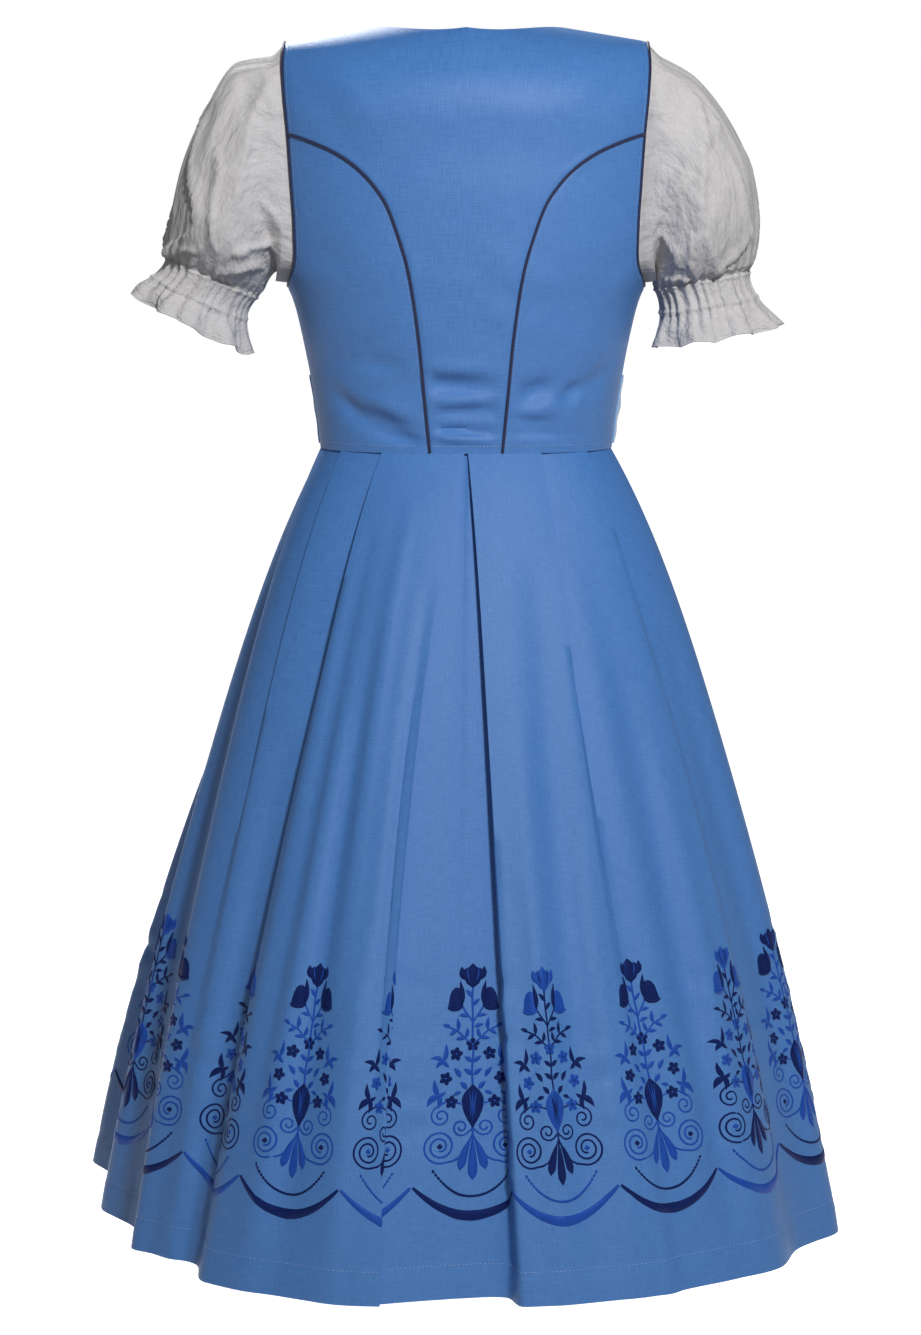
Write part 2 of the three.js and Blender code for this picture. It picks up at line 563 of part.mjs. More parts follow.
// The puff sleeves, as rings from the armhole to the ruffle. Each ring runs from its outer point over
// the back to its inner point and round the front. depth: half its depth. fold: height of its folds.
const LEFT_SLEEVE = [
  { name: 'crown', outerX: 202, outerZ: -17, innerX: 166.5, innerZ: -201, depth: 70, fold: 2 },
  { name: 'upper', outerX: 233, outerZ: -62, innerX: 170, innerZ: -202, depth: 76, fold: 3 },
  { name: 'middle', outerX: 254, outerZ: -112, innerX: 173.5, innerZ: -205, depth: 76, fold: 3 },
  { name: 'lower', outerX: 264, outerZ: -158, innerX: 177, innerZ: -210, depth: 68, fold: 2.6 },
  { name: 'gather', outerX: 268, outerZ: -181, innerX: 181, innerZ: -217, depth: 54, fold: 2.2 },
  { name: 'casing top', outerX: 267, outerZ: -189, innerX: 187, innerZ: -224, depth: 45, fold: 1.3 },
  { name: 'casing bottom', outerX: 281, outerZ: -212, innerX: 197, innerZ: -245, depth: 45, fold: 1.3 },
  { name: 'ruffle', outerX: 291, outerZ: -221, innerX: 195, innerZ: -260, depth: 52, fold: 3 },
  { name: 'edge', outerX: 297, outerZ: -231, innerX: 192, innerZ: -273, depth: 58, fold: 5 },
];
const RIGHT_SLEEVE = [
  { name: 'crown', outerX: 200, outerZ: -28, innerX: 165.5, innerZ: -200, depth: 70, fold: 2 },
  { name: 'upper', outerX: 232, outerZ: -66, innerX: 167, innerZ: -201, depth: 76, fold: 3 },
  { name: 'middle', outerX: 253, outerZ: -112, innerX: 167.5, innerZ: -203.5, depth: 76, fold: 3 },
  { name: 'lower', outerX: 259, outerZ: -160, innerX: 167.5, innerZ: -207, depth: 68, fold: 2.6 },
  { name: 'gather', outerX: 256, outerZ: -192, innerX: 167.5, innerZ: -211.5, depth: 54, fold: 2.2 },
  { name: 'casing top', outerX: 252, outerZ: -202, innerX: 169, innerZ: -217, depth: 45, fold: 1.3 },
  { name: 'casing bottom', outerX: 260, outerZ: -225, innerX: 174, innerZ: -239, depth: 45, fold: 1.3 },
  { name: 'ruffle', outerX: 270, outerZ: -239, innerX: 170, innerZ: -255, depth: 52, fold: 3 },
  { name: 'edge', outerX: 279, outerZ: -250, innerX: 167, innerZ: -269, depth: 58, fold: 5 },
];
const SLEEVE_COLUMNS = 44;
const SLEEVE_FOLDS = 11;

function sleeveRings(hand, table) {
  const loop = armholeLoop(hand, SLEEVE_COLUMNS);
  const tucked = (reach, below) => loop.map(({ point, normal, away }) => point.clone()
    .addScaledVector(away, reach).addScaledVector(normal, -below));
  const raised = loop.map(({ point }, index) => {
    const upper = Math.max(0, Math.cos((index / SLEEVE_COLUMNS) * 2 * Math.PI));
    return point.clone().add(new THREE.Vector3(hand * 11, 0, -12 * upper ** 1.5 + 6 * (1 - upper)));
  });
  const rings = [tucked(-5.5, 4.2), tucked(-0.5, 3.6), tucked(3.5, 3.2), raised];
  for (const { outerX, outerZ, innerX, innerZ, depth, fold } of table) {
    const centre = new THREE.Vector3((hand * (outerX + innerX)) / 2, 0, (outerZ + innerZ) / 2);
    const reach = new THREE.Vector3((hand * (outerX - innerX)) / 2, 0, (outerZ - innerZ) / 2);
    rings.push(steps(SLEEVE_COLUMNS).slice(0, -1).map((share) => {
      const turn = share * 2 * Math.PI;
      const point = centre.clone().addScaledVector(reach, Math.cos(turn));
      point.y += depth * Math.sin(turn);
      const room = 0.35 + 0.65 * (0.5 + 0.5 * Math.cos(turn));
      const wave = fold * room * Math.cos(SLEEVE_FOLDS * turn + 0.6);
      return point.addScaledVector(point.clone().sub(centre).normalize(), wave);
    }));
  }
  return rings;
}

// A tube of thin cloth: the inner face follows the outer one along its own normals
function sleeve(rings) {
  const count = rings[0].length;
  const inner = rings.map((ring, row) => ring.map((point, column) => {
    const around = ring[(column + 1) % count].clone().sub(ring[(column + count - 1) % count]);
    const above = rings[Math.max(row - 1, 0)][column];
    const below = rings[Math.min(row + 1, rings.length - 1)][column];
    const normal = around.cross(below.clone().sub(above)).normalize();
    return point.clone().addScaledVector(normal, BLOUSE_CLOTH);
  }));
  return [rings, inner];
}

for (const [suffix, hand, table] of [['l', 1, LEFT_SLEEVE], ['r', -1, RIGHT_SLEEVE]]) {
  const [outer, along] = sleeve(sleeveRings(hand, table));
  const inner = along.map((ring, row) => ring.map((point, column) => (
    hand < 0 ? point : outer[row][column].clone().multiplyScalar(2).sub(point)
  )));
  sew(`sleeve_${suffix}`, wall(outer, inner, true), material(COLOURS.cotton, 0.9));
}

export default dirndl;
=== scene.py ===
# %% [markdown]
# # A worn dirndl, seen from behind
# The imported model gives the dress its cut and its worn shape. This lesson dresses it: each cloth
# piece is made again as a fine sheet on the same form, with its creases, seams and stitching,
# and the embroidered border is sewn on the skirt.

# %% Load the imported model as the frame
import math

import bpy
import numpy as np
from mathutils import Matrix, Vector


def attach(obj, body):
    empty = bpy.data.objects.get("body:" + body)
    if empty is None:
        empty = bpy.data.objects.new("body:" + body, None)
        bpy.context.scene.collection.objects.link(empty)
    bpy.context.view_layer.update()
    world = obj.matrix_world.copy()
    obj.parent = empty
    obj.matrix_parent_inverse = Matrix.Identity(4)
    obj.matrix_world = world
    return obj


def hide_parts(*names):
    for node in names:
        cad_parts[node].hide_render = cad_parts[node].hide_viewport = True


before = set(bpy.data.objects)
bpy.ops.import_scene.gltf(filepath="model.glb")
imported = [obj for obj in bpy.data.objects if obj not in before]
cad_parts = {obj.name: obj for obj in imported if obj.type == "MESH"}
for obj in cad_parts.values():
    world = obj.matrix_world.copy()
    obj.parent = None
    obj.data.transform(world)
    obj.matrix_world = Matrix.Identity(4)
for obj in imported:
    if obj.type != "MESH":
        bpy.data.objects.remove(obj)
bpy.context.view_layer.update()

# %% [markdown]
# The photograph looks at the back of the dress from a little above its middle, with a long lens.
# The back faces +Y, so the camera stands there, three metres away.

# %% The camera
TARGET = Vector((0.005, 0.0, -0.559))
DISTANCE = 3.0
ELEVATION = math.radians(8)
FOCAL_LENGTH = 89.0

bpy.ops.object.select_all(action="DESELECT")
bpy.ops.object.camera_add()
camera = bpy.context.object
towards = Vector((0, math.cos(ELEVATION), math.sin(ELEVATION)))
camera.location = TARGET + towards * DISTANCE
camera.rotation_euler = (-towards).to_track_quat("-Z", "Y").to_euler()
camera.data.lens = FOCAL_LENGTH
camera.data.clip_end = 50
bpy.context.scene.camera = camera
print("Camera at", [round(x, 3) for x in camera.location])

# %% [markdown]
# Colours are written as sRGB hex, as a picture shows them. A shader works with linear light, so one
# function turns them, and one function adds a node with its settings and links.

# %% Colours and nodes
def linear(hex_colour):
    channels = [int(hex_colour[at:at + 2], 16) / 255 for at in (1, 3, 5)]
    return tuple(c / 12.92 if c <= 0.04045 else ((c + 0.055) / 1.055) ** 2.4 for c in channels) + (1.0,)


def add_node(material, kind, settings=None, links=None, **choices):
    node = material.node_tree.nodes.new(kind)
    for name, value in choices.items():
        setattr(node, name, value)
    for socket, value in (settings or {}).items():
        node.inputs[socket].default_value = value
    for socket, source in (links or {}).items():
        material.node_tree.links.new(source, node.inputs[socket])
    return node


def new_material(name, **settings):
    material = bpy.data.materials.new(name)
    material.use_nodes = True
    shader = material.node_tree.nodes["Principled BSDF"]
    for socket, value in settings.items():
        shader.inputs[socket.replace("_", " ")].default_value = value
    return material, shader


# %% [markdown]
# The dress hangs in a studio over a pale floor, which lies well below the hem, where a wearer would
# stand. A light beside the camera makes cloth that faces it bright, and the sides of the folds fall
# away darker. A second one lights the front. The floor glows white further out, so that it runs into
# the white wall with no edge, and the room adds a little light all round.

# %% Floor and lights
FLOOR_Z = -1.42

bpy.ops.mesh.primitive_plane_add(size=60, location=(0, 0, FLOOR_Z))
floor = bpy.context.object
floor.name = "studio_floor"
floor.visible_diffuse = False
floor_paper, floor_shader = new_material("seamless pale paper", Base_Color=linear("#f6f6f6"),
                                         Roughness=0.9, Emission_Color=linear("#ffffff"))
floor_place = add_node(floor_paper, "ShaderNodeTexCoord")
floor_away = add_node(floor_paper, "ShaderNodeVectorMath", {}, {0: floor_place.outputs["Object"]},
                      operation="LENGTH")
glow_range = {"From Min": 0.3, "From Max": 2.4, "To Min": 0.62, "To Max": 1.0}
floor_glow = add_node(floor_paper, "ShaderNodeMapRange", glow_range, {"Value": floor_away.outputs["Value"]})
floor_paper.node_tree.links.new(floor_glow.outputs["Result"], floor_shader.inputs["Emission Strength"])
floor.data.materials.append(floor_paper)

LIGHT_SIZE = 0.35
LIGHT_POWER = 72


def soft_light(name, place):
    bpy.ops.object.light_add(type="AREA", location=place)
    light = bpy.context.object
    light.name = name
    light.data.shape = "DISK"
    light.data.size = LIGHT_SIZE
    light.data.energy = LIGHT_POWER
    aim = Vector((0, 0, -0.55)) - Vector(place)
    light.rotation_euler = aim.to_track_quat("-Z", "Y").to_euler()


soft_light("key_light", (-0.7, 2.55, 1.3))
soft_light("front_light", (0.7, -2.55, 1.3))
world = bpy.data.worlds.new("studio")
world.use_nodes = True
soft_sky = world.node_tree.nodes["Background"]
soft_sky.inputs["Color"].default_value = linear("#f7f8fb")
soft_sky.inputs["Strength"].default_value = 0.14
white_wall = add_node(world, "ShaderNodeBackground", {"Color": linear("#ffffff"), "Strength": 1.0})
seen_directly = add_node(world, "ShaderNodeLightPath")
wall_or_sky = add_node(world, "ShaderNodeMixShader", {}, {0: seen_directly.outputs["Is Camera Ray"],
                                                          1: soft_sky.outputs[0], 2: white_wall.outputs[0]})
world.node_tree.links.new(wall_or_sky.outputs[0], world.node_tree.nodes["World Output"].inputs["Surface"])
bpy.context.scene.world = world
bpy.context.scene.view_settings.view_transform = "Standard"

# %% [markdown]
# Woven cloth shows threads that run two ways, each a little thicker here and thinner there. Each
# cloth piece carries a map named weave in metres along its own threads, so a noise that is short
# across a thread and long along it draws them at their real size.

# %% A woven pattern on the cloth's own map
THREAD_CONTRAST = 0.22


def streaks(material, across, along, turned=False, detail=2.0):
    size = (1 / along, 1 / across, 1) if turned else (1 / across, 1 / along, 1)
    cloth_map = add_node(material, "ShaderNodeUVMap", uv_map="weave")
    scaled = add_node(material, "ShaderNodeMapping", {"Scale": size}, {"Vector": cloth_map.outputs["UV"]})
    noise = add_node(material, "ShaderNodeTexNoise", {"Scale": 1.0, "Detail": detail, "Roughness": 0.6},
                     {"Vector": scaled.outputs["Vector"]}, noise_dimensions="2D")
    return noise.outputs["Fac"]


def woven(name, dark, light, thread, slub, bump, crumple=0.0, **settings):
    material, shader = new_material(name, **settings)
    warp = streaks(material, thread, slub)
    weft = streaks(material, thread, slub, turned=True)
    both = add_node(material, "ShaderNodeMath", {}, {0: warp, 1: weft}, operation="ADD")
    cloudy = streaks(material, 0.05, 0.07)
    mottled = add_node(material, "ShaderNodeMath", {1: 0.2}, {0: cloudy, 2: both.outputs[0]},
                       operation="MULTIPLY_ADD")
    reach = THREAD_CONTRAST * 2.6
    spread = add_node(material, "ShaderNodeMapRange", {"From Min": 1.1 - reach, "From Max": 1.1 + reach},
                      {"Value": mottled.outputs[0]})
    colour = add_node(material, "ShaderNodeMix", {6: linear(dark), 7: linear(light)},
                      {0: spread.outputs["Result"]}, data_type="RGBA")
    relief = add_node(material, "ShaderNodeBump", {"Strength": bump, "Distance": 0.0004},
                      {"Height": both.outputs[0]})
    if crumple:
        creased = streaks(material, 0.016, 0.03, detail=3.0)
        soft = add_node(material, "ShaderNodeBump", {"Strength": 1.0, "Distance": crumple},
                        {"Height": creased})
        material.node_tree.links.new(soft.outputs["Normal"], relief.inputs["Normal"])
    material.node_tree.links.new(colour.outputs[2], shader.inputs["Base Color"])
    material.node_tree.links.new(relief.outputs["Normal"], shader.inputs["Normal"])
    return material


# %% [markdown]
# The dress is a matt cotton blend with a linen look: slubs make short lighter and darker streaks
# both ways. The blouse is a thin white cotton. The piping is navy cotton over a cord. The real
# threads are about 0.4 mm, too fine to show from here, so the slubs are drawn 0.9 mm thick.

# %% Cloth materials
blue_twill = woven("cotton blend with slubs, piece dyed blue", "#3a71b8", "#528ace", 0.0009, 0.014, 0.30,
                   Roughness=0.55, Sheen_Weight=0.08, Sheen_Roughness=0.4, Sheen_Tint=linear("#a9c8f0"),
                   Specular_IOR_Level=0.42)
white_cotton = woven("thin white cotton batiste", "#c2bfc0", "#dcdadb", 0.0008, 0.010, 0.22, crumple=0.004,
                     Roughness=0.85, Sheen_Weight=0.03, Specular_IOR_Level=0.2)
navy_piping = woven("navy cotton piping, bias cut", "#10163a", "#1d2650", 0.0006, 0.003, 0.5,
                    Roughness=0.6, Sheen_Weight=0.2, Specular_IOR_Level=0.3)
blue_satin = woven("light blue polyester satin", "#6fabe4", "#8cc4f4", 0.0005, 0.03, 0.08,
                   Roughness=0.3, Sheen_Weight=0.1, Specular_IOR_Level=0.6, Anisotropic=0.5)
sewing_thread = woven("polyester sewing thread, pale blue", "#7fa9dd", "#b7d0ee", 0.0006, 0.002, 0.3,
                      Roughness=0.5, Specular_IOR_Level=0.4)
cloths = (blue_twill, white_cotton, navy_piping, blue_satin, sewing_thread)
print("Cloth materials:", [cloth.name for cloth in cloths])

# %% [markdown]
# The embroidery is machine satin stitch in shiny rayon. Its threads lie across each stroke, side by
# side, so the streaks run across the map's length. Real threads are 0.4 mm wide; 0.7 mm shows.

# %% Embroidery threads
navy_thread = woven("rayon embroidery thread, navy", "#0b1640", "#182a68", 0.0007, 0.02, 0.5,
                    Roughness=0.45, Specular_IOR_Level=0.3, Specular_Tint=linear("#6c84ea"),
                    Anisotropic=0.5)
royal_thread = woven("rayon embroidery thread, royal blue", "#143a98", "#285cbc", 0.0007, 0.02, 0.5,
                     Roughness=0.42, Specular_IOR_Level=0.4, Specular_Tint=linear("#8fb0ff"),
                     Anisotropic=0.5)
button_gloss, _ = new_material("polyester button, cast, glossy navy", Base_Color=linear("#1f2743"),
                               Roughness=0.18, Coat_Weight=0.4)

# %% [markdown]
# Every panel starts as a flat grid, as cloth starts flat. Its points are then laid on the worn form
# by a function of where they lie on the cloth, and Solidify gives it its thickness inwards. A finished
# piece stands for one solid of the imported model, which it hides, and takes a material of its own.

# %% A cloth piece from a grid
def select_only(piece):
    bpy.ops.object.select_all(action="DESELECT")
    piece.select_set(True)
    bpy.context.view_layer.objects.active = piece


def face_outwards(piece, middle):
    count = len(piece.data.polygons)
    normals = np.zeros(count * 3)
    centres = np.zeros(count * 3)
    piece.data.polygons.foreach_get("normal", normals)
    piece.data.polygons.foreach_get("center", centres)
    away = centres.reshape(-1, 3) - middle
    if middle[2] == 0:
        away[:, 2] = 0
    if (normals.reshape(-1, 3) * away).sum() < 0:
        bpy.ops.object.mode_set(mode="EDIT")
        bpy.ops.mesh.select_all(action="SELECT")
        bpy.ops.mesh.flip_normals()
        bpy.ops.object.mode_set(mode="OBJECT")


def cloth_from_grid(name, across, up, place, material, wall=1.2, closed=False, middle=(0, -0.008, 0),
                    smooth=50):
    bpy.ops.object.select_all(action="DESELECT")
    bpy.ops.mesh.primitive_grid_add(x_subdivisions=across, y_subdivisions=up, size=1)
    piece = bpy.context.object
    piece.name = name
    mesh = piece.data
    mesh.name = name
    flat = np.zeros(len(mesh.vertices) * 3)
    mesh.vertices.foreach_get("co", flat)
    column = np.rint((flat[0::3] + 0.5) * across).astype(int)
    row = np.rint((flat[1::3] + 0.5) * up).astype(int)
    points, threads = place(column, row)
    mesh.vertices.foreach_set("co", (points / 1000).ravel())
    corners = np.zeros(len(mesh.loops), int)
    mesh.loops.foreach_get("vertex_index", corners)
    mesh.uv_layers[0].name = "weave"
    mesh.uv_layers["weave"].data.foreach_set("uv", (threads[corners] / 1000).ravel())
    mesh.update()
    if closed:
        bpy.ops.object.mode_set(mode="EDIT")
        bpy.ops.mesh.select_all(action="SELECT")
        bpy.ops.mesh.remove_doubles(threshold=0.000005)
        bpy.ops.object.mode_set(mode="OBJECT")
    face_outwards(piece, np.array(middle))
    area = sum(face.area for face in mesh.polygons)
    if wall:
        thicken = piece.modifiers.new("wall", "SOLIDIFY")
        thicken.thickness = wall / 1000
        thicken.offset = -1
        bpy.ops.object.modifier_apply(modifier=thicken.name)
    bpy.ops.object.shade_smooth_by_angle(angle=math.radians(smooth))
    mesh.materials.clear()
    mesh.materials.append(material)
    print(name, "faces", len(mesh.polygons), "area", round(area, 4))
    return piece


def stand_for(piece, node):
    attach(piece, "root")
    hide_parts(node)


# %% [markdown]
# The cut of the dress is kept in short tables of sizes in millimetres. They are those that the packed
# model is built from, but a few folds of the skirt and the casing and ruffle of the left sleeve lie
# some millimetres from theirs. A smooth curve runs through the rows of a table with no overshoot. The
# last two functions measure along a line and find points on it.

# %% Smooth tables and lines
def mix(start, end, share):
    return start + (end - start) * share


def curve(start, end, leave, arrive, t):
    bend = t * t * (3 - 2 * t)
    return start * (1 - bend) + end * bend + leave * t * (1 - t) ** 2 - arrive * t * t * (1 - t)


def calm_tangents(slopes):
    same_way = slopes[:-1] * slopes[1:] > 0
    total = np.where(same_way, slopes[:-1] + slopes[1:], 1)
    inner = np.where(same_way, 2 * slopes[:-1] * slopes[1:] / total, 0)
    return np.concatenate([slopes[:1], inner, slopes[-1:]])


def smooth_table(rows, column):
    keys = np.array([row[0] for row in rows], float)
    values = np.array([row[column] for row in rows], float)
    tangents = calm_tangents(np.diff(values) / np.diff(keys))

    def value(at):
        inside = np.clip(np.asarray(at, float), keys[0], keys[-1])
        row = np.clip(np.searchsorted(keys, inside, side="right") - 1, 0, len(keys) - 2)
        span = keys[row + 1] - keys[row]
        t = (inside - keys[row]) / span
        return curve(values[row], values[row + 1], tangents[row] * span, tangents[row + 1] * span, t)

    return value


def lengths_along(line):
    return np.concatenate([[0], np.cumsum(np.linalg.norm(np.diff(line, axis=0), axis=1))])


def points_at(at, lengths, line):
    return np.stack([np.interp(at, lengths, line[:, axis]) for axis in range(3)], -1)


# %% [markdown]
# The bodice is a round that is flatter than a circle, wider at the bust than at the waist. Above the
# chest it closes over the shoulders. Angles run from 0 at the centre back over the wearer's left
# side seam to 180 degrees at the centre front.

# %% The form of the bodice
WAIST_Z = -358
HEM_Z = -1059
UNDERARM_Z = -216
RISE = 70
RIDGE = RISE * (math.pi / 2 - 1) - 0.15
POWER = 2 / 2.3
HALF_GAP = 0.02
MAP_RADIUS = 130

# height, half width, depth behind, depth before
BODICE_ROUND = [
    (-358, 131, 88, 98), (-330, 134, 91, 102), (-304, 138, 94, 107), (-264, 145.5, 99, 118),
    (-237, 151.5, 102, 125), (-224, 155.5, 103, 126), (-216, 159, 104, 126), (-200, 166, 105.5, 125),
    (-170, 174, 106, 122), (-140, 179, 106, 117), (-100, 183, 105, 110), (-50, 186, 107, 103),
    (0, 188, 108, 100), (60, 188, 108, 100),
]
half_width = smooth_table(BODICE_ROUND, 1)
back_depth = smooth_table(BODICE_ROUND, 2)
front_depth = smooth_table(BODICE_ROUND, 3)


def bodice_face(angle, height):
    sine, cosine = np.sin(angle), np.cos(angle)
    depth = np.where(cosine >= 0, back_depth(height), front_depth(height))
    x = half_width(height) * np.sign(sine) * np.abs(sine) ** POWER
    y = depth * np.sign(cosine) * np.abs(cosine) ** POWER
    turn = np.maximum(height + RISE, 0) / RISE
    peak = 26.7 - 0.1625 * np.abs(x)
    over = -RISE + (RISE + peak) * np.sin(turn)
    return np.stack([x, y * np.cos(turn), np.where(height > -RISE, over, height)], -1)


def unit(vectors):
    return vectors / np.maximum(np.linalg.norm(vectors, axis=-1, keepdims=True), 1e-9)


def bodice_normal(angle, height):
    across = bodice_face(angle + 0.004, height) - bodice_face(angle - 0.004, height)
    up = bodice_face(angle, height + 0.5) - bodice_face(angle, height - 0.5)
    return unit(np.cross(up, across))


def angle_at(across, height, front=False):
    angle = np.arcsin(np.minimum(1, (across / half_width(height)) ** (1 / POWER)))
    return math.pi - angle if front else angle


# %% [markdown]
# Curved seams run from the armholes to the waist, behind and before, and shape the bodice as darts
# would. The armholes and the scooped front neckline bound the panels above.

# %% The seams and edges of the bodice
# height, distance from the centre back
BACK_PRINCESS = [
    (-358, 31.6), (-311, 36.2), (-262, 40.7), (-227, 45.2), (-198, 50.3), (-166, 59.7), (-142, 69),
    (-125, 80.6), (-112, 93.1), (-98.7, 112), (-88.6, 134.2), (-81.4, 154.6),
]
# height, distance from the centre front
FRONT_PRINCESS = [
    (-358, 42), (-300, 52), (-250, 66), (-215, 76), (-180, 90), (-150, 107), (-125, 128), (-110, 143),
]
# height, distance from the middle behind, and before
ARMHOLE = [
    (-216, 159, 159), (-214, 158, 157.6), (-211, 157, 156), (-207, 155.4, 153.6), (-201, 152.6, 150.4),
    (-194, 150.4, 147.4), (-184, 149.4, 144.8), (-157, 149.8, 142), (-131, 151.4, 142),
    (-81.4, 154.6, 146), (-45, 158, 151.5), (-15, 159.5, 156), (19, 159, 158.5), (40, 159, 159),
]
FRONT_NECK = [
    (-150, 0), (-149, 22), (-146, 40), (-140, 52), (-124, 63), (-90, 72), (-40, 80), (0, 88), (40, 94),
]
back_princess = smooth_table(BACK_PRINCESS, 1)
front_princess = smooth_table(FRONT_PRINCESS, 1)
armhole_behind = smooth_table(ARMHOLE, 1)
armhole_before = smooth_table(ARMHOLE, 2)
front_neck = smooth_table(FRONT_NECK, 1)


def side_angle(height, front):
    seam = math.pi / 2 + (HALF_GAP / 110 if front else -HALF_GAP / 110)
    edge = armhole_before(height) if front else armhole_behind(height)
    return np.where(height <= UNDERARM_Z, seam, angle_at(edge, height, front))


# %% [markdown]
# Worn cloth is never quite smooth. The back drags into shallow folds above the waist, where it is
# pushed up, and from the shoulder blades to the armholes. Each fold is one row of a table: where its
# middle lies, how long and wide it is, how it slants, and how far it rises or sinks. The folds are
# laid deeper than their rows say, most of all near the waist. Higher up the blouse lies close inside,
# so a fold may sink only a little there.

# %% Creases of the bodice
# across, height, half length, half width, slant in degrees, rise
BACK_CREASES = [
    (12, -298, 34, 9, 3, -2.0), (10, -284, 36, 8, 2, 1.0), (4, -322, 30, 6, -4, -1.5),
    (2, -311, 30, 5, -2, 0.9), (8, -337, 32, 4, 5, -1.5), (6, -345, 34, 4, 3, 0.9),
    (-60, -304, 17, 9, -24, -2.4), (-74, -318, 20, 7, -14, 1.0), (-93, -306, 14, 7, -38, -2.2),
    (-52, -330, 22, 5, 9, -1.4), (-60, -340, 26, 4, 5, -1.1), (-112, -300, 26, 6, -58, -1.6),
    (-104, -312, 26, 5, -56, 1.0), (74, -334, 26, 10, 24, -2.2), (66, -318, 26, 7, 22, 1.0),
    (74, -280, 18, 8, 0, -1.6), (104, -318, 20, 7, 46, -1.4), (52, -346, 24, 5, 8, -1.1),
    (102, -270, 26, 10, -28, -1.3), (-100, -262, 30, 12, 40, 1.3), (-42, -222, 42, 10, 32, -1.1),
    (-54, -200, 40, 9, 30, 0.8), (44, -196, 44, 12, -28, -0.8), (120, -188, 24, 12, 20, -1.3),
    (-128, -196, 24, 12, -34, -1.3), (-92, -98, 60, 20, 38, -1.4), (-60, -74, 60, 16, 34, 0.9),
    (118, -66, 40, 14, 52, -1.5), (102, -40, 38, 12, 50, 0.9), (-126, -46, 34, 13, -46, -1.3),
    (0, -128, 70, 24, 0, 0.8), (20, -16, 60, 12, 0, -0.9), (60, -112, 50, 16, -40, -0.8),
    (-12, -250, 40, 12, 20, -0.7),
]
FRONT_CREASES = [
    (-70, -326, 26, 8, 20, -1.4), (60, -334, 28, 7, -16, -1.4), (-88, -256, 30, 9, -36, -1.2),
    (92, -248, 28, 10, 34, -1.3), (34, -216, 24, 9, 60, -1.1), (-30, -226, 26, 8, -62, -1.0),
    (112, -168, 22, 9, -40, -1.2), (-116, -176, 24, 9, 44, -1.3), (104, -70, 40, 9, 74, -0.9),
    (-102, -82, 40, 9, -72, -0.8), (20, -300, 20, 6, 4, -0.9), (-14, -344, 24, 5, -3, -0.9),
]


def crease_field(rows, x, z):
    total = np.zeros_like(x)
    for across, height, length, width, slant, rise in rows:
        lean = math.radians(slant)
        along = (x - across) * math.cos(lean) + (z - height) * math.sin(lean)
        aside = (z - height) * math.cos(lean) - (x - across) * math.sin(lean)
        total += rise * np.exp(-(along / length) ** 2 - (aside / width) ** 2)
    return total


def lay_on_bodice(angle, height, out=0.0, edge=None):
    points = bodice_face(angle, height)
    behind = crease_field(BACK_CREASES, points[:, 0], points[:, 2])
    before = crease_field(FRONT_CREASES, points[:, 0], points[:, 2])
    gain = np.interp(points[:, 2], [-288, -245], [3.0, 1.2])
    deepest = np.interp(points[:, 2], [-300, -270], [-6.0, -1.7])
    rise = np.maximum(np.where(np.cos(angle) >= 0, behind, before) * gain, deepest)
    if edge is not None:
        rise = rise * np.clip(edge / 12, 0.25, 1) - 0.5 * np.exp(-(edge / 3.0) ** 2)
    rise = rise * np.clip((points[:, 2] - WAIST_Z) / 12, 0, 1)
    points = points + bodice_normal(angle, height) * (rise + out)[:, None]
    return points, np.stack([angle * MAP_RADIUS, height], -1)


# %% [markdown]
# The bodice's back is one piece between the two curved seams, with the straps that reach the
# shoulder seams. The neckline between them is almost straight.

# %% The centre back
def even(*stops):
    parts = [np.linspace(start, end, count, endpoint=False) for start, end, count in stops]
    return np.concatenate([*parts, [stops[-1][1]]])


def back_centre_place(column, row):
    side = 2 * column / BACK_COLUMNS - 1
    height = BACK_HEIGHTS[row]
    neck = np.minimum(1, np.abs(side) * 159 / 94) ** 2.2
    top = RIDGE - NECK_DROP * (1 - neck)
    level = np.where(height <= -80, height, mix(-80, top, (height + 80) / (RIDGE + 80)))
    across = np.where(level < -81.4, back_princess(level) - HALF_GAP, armhole_behind(level))
    angle = np.sign(side) * angle_at(np.abs(side) * across, level)
    return lay_on_bodice(angle, level, edge=(1 - np.abs(side)) * across)


NECK_DROP = 41.3
BACK_COLUMNS = 84
BACK_HEIGHTS = even((-358, -340, 8), (-340, -130, 56), (-130, -80, 30), (-80, RIDGE, 34))
back_centre = cloth_from_grid("centre_back", BACK_COLUMNS, len(BACK_HEIGHTS) - 1, back_centre_place,
                              blue_twill)
stand_for(back_centre, "back_centre")

# %% [markdown]
# The side backs and side fronts fill the round between the curved seams and the side seams. Both
# sides are cut from one pattern, turned over.

# %% The side panels
def panel_place(hand, heights, columns, inner_edge, outer_edge):
    def place(column, row):
        height = heights[row]
        share = column / columns
        start, end = inner_edge(height), outer_edge(height)
        width = np.linalg.norm(bodice_face(end, height) - bodice_face(start, height), axis=-1)
        from_edge = np.minimum(share, 1 - share) * width
        return lay_on_bodice(hand * mix(start, end, share), height, edge=from_edge)

    return place


def back_seam_angle(height):
    return angle_at(back_princess(height) + HALF_GAP, height)


def front_seam_angle(height):
    return angle_at(front_princess(height) + HALF_GAP, height, True)


def back_side_angle(height):
    return side_angle(height, False)


def front_side_angle(height):
    return side_angle(height, True)


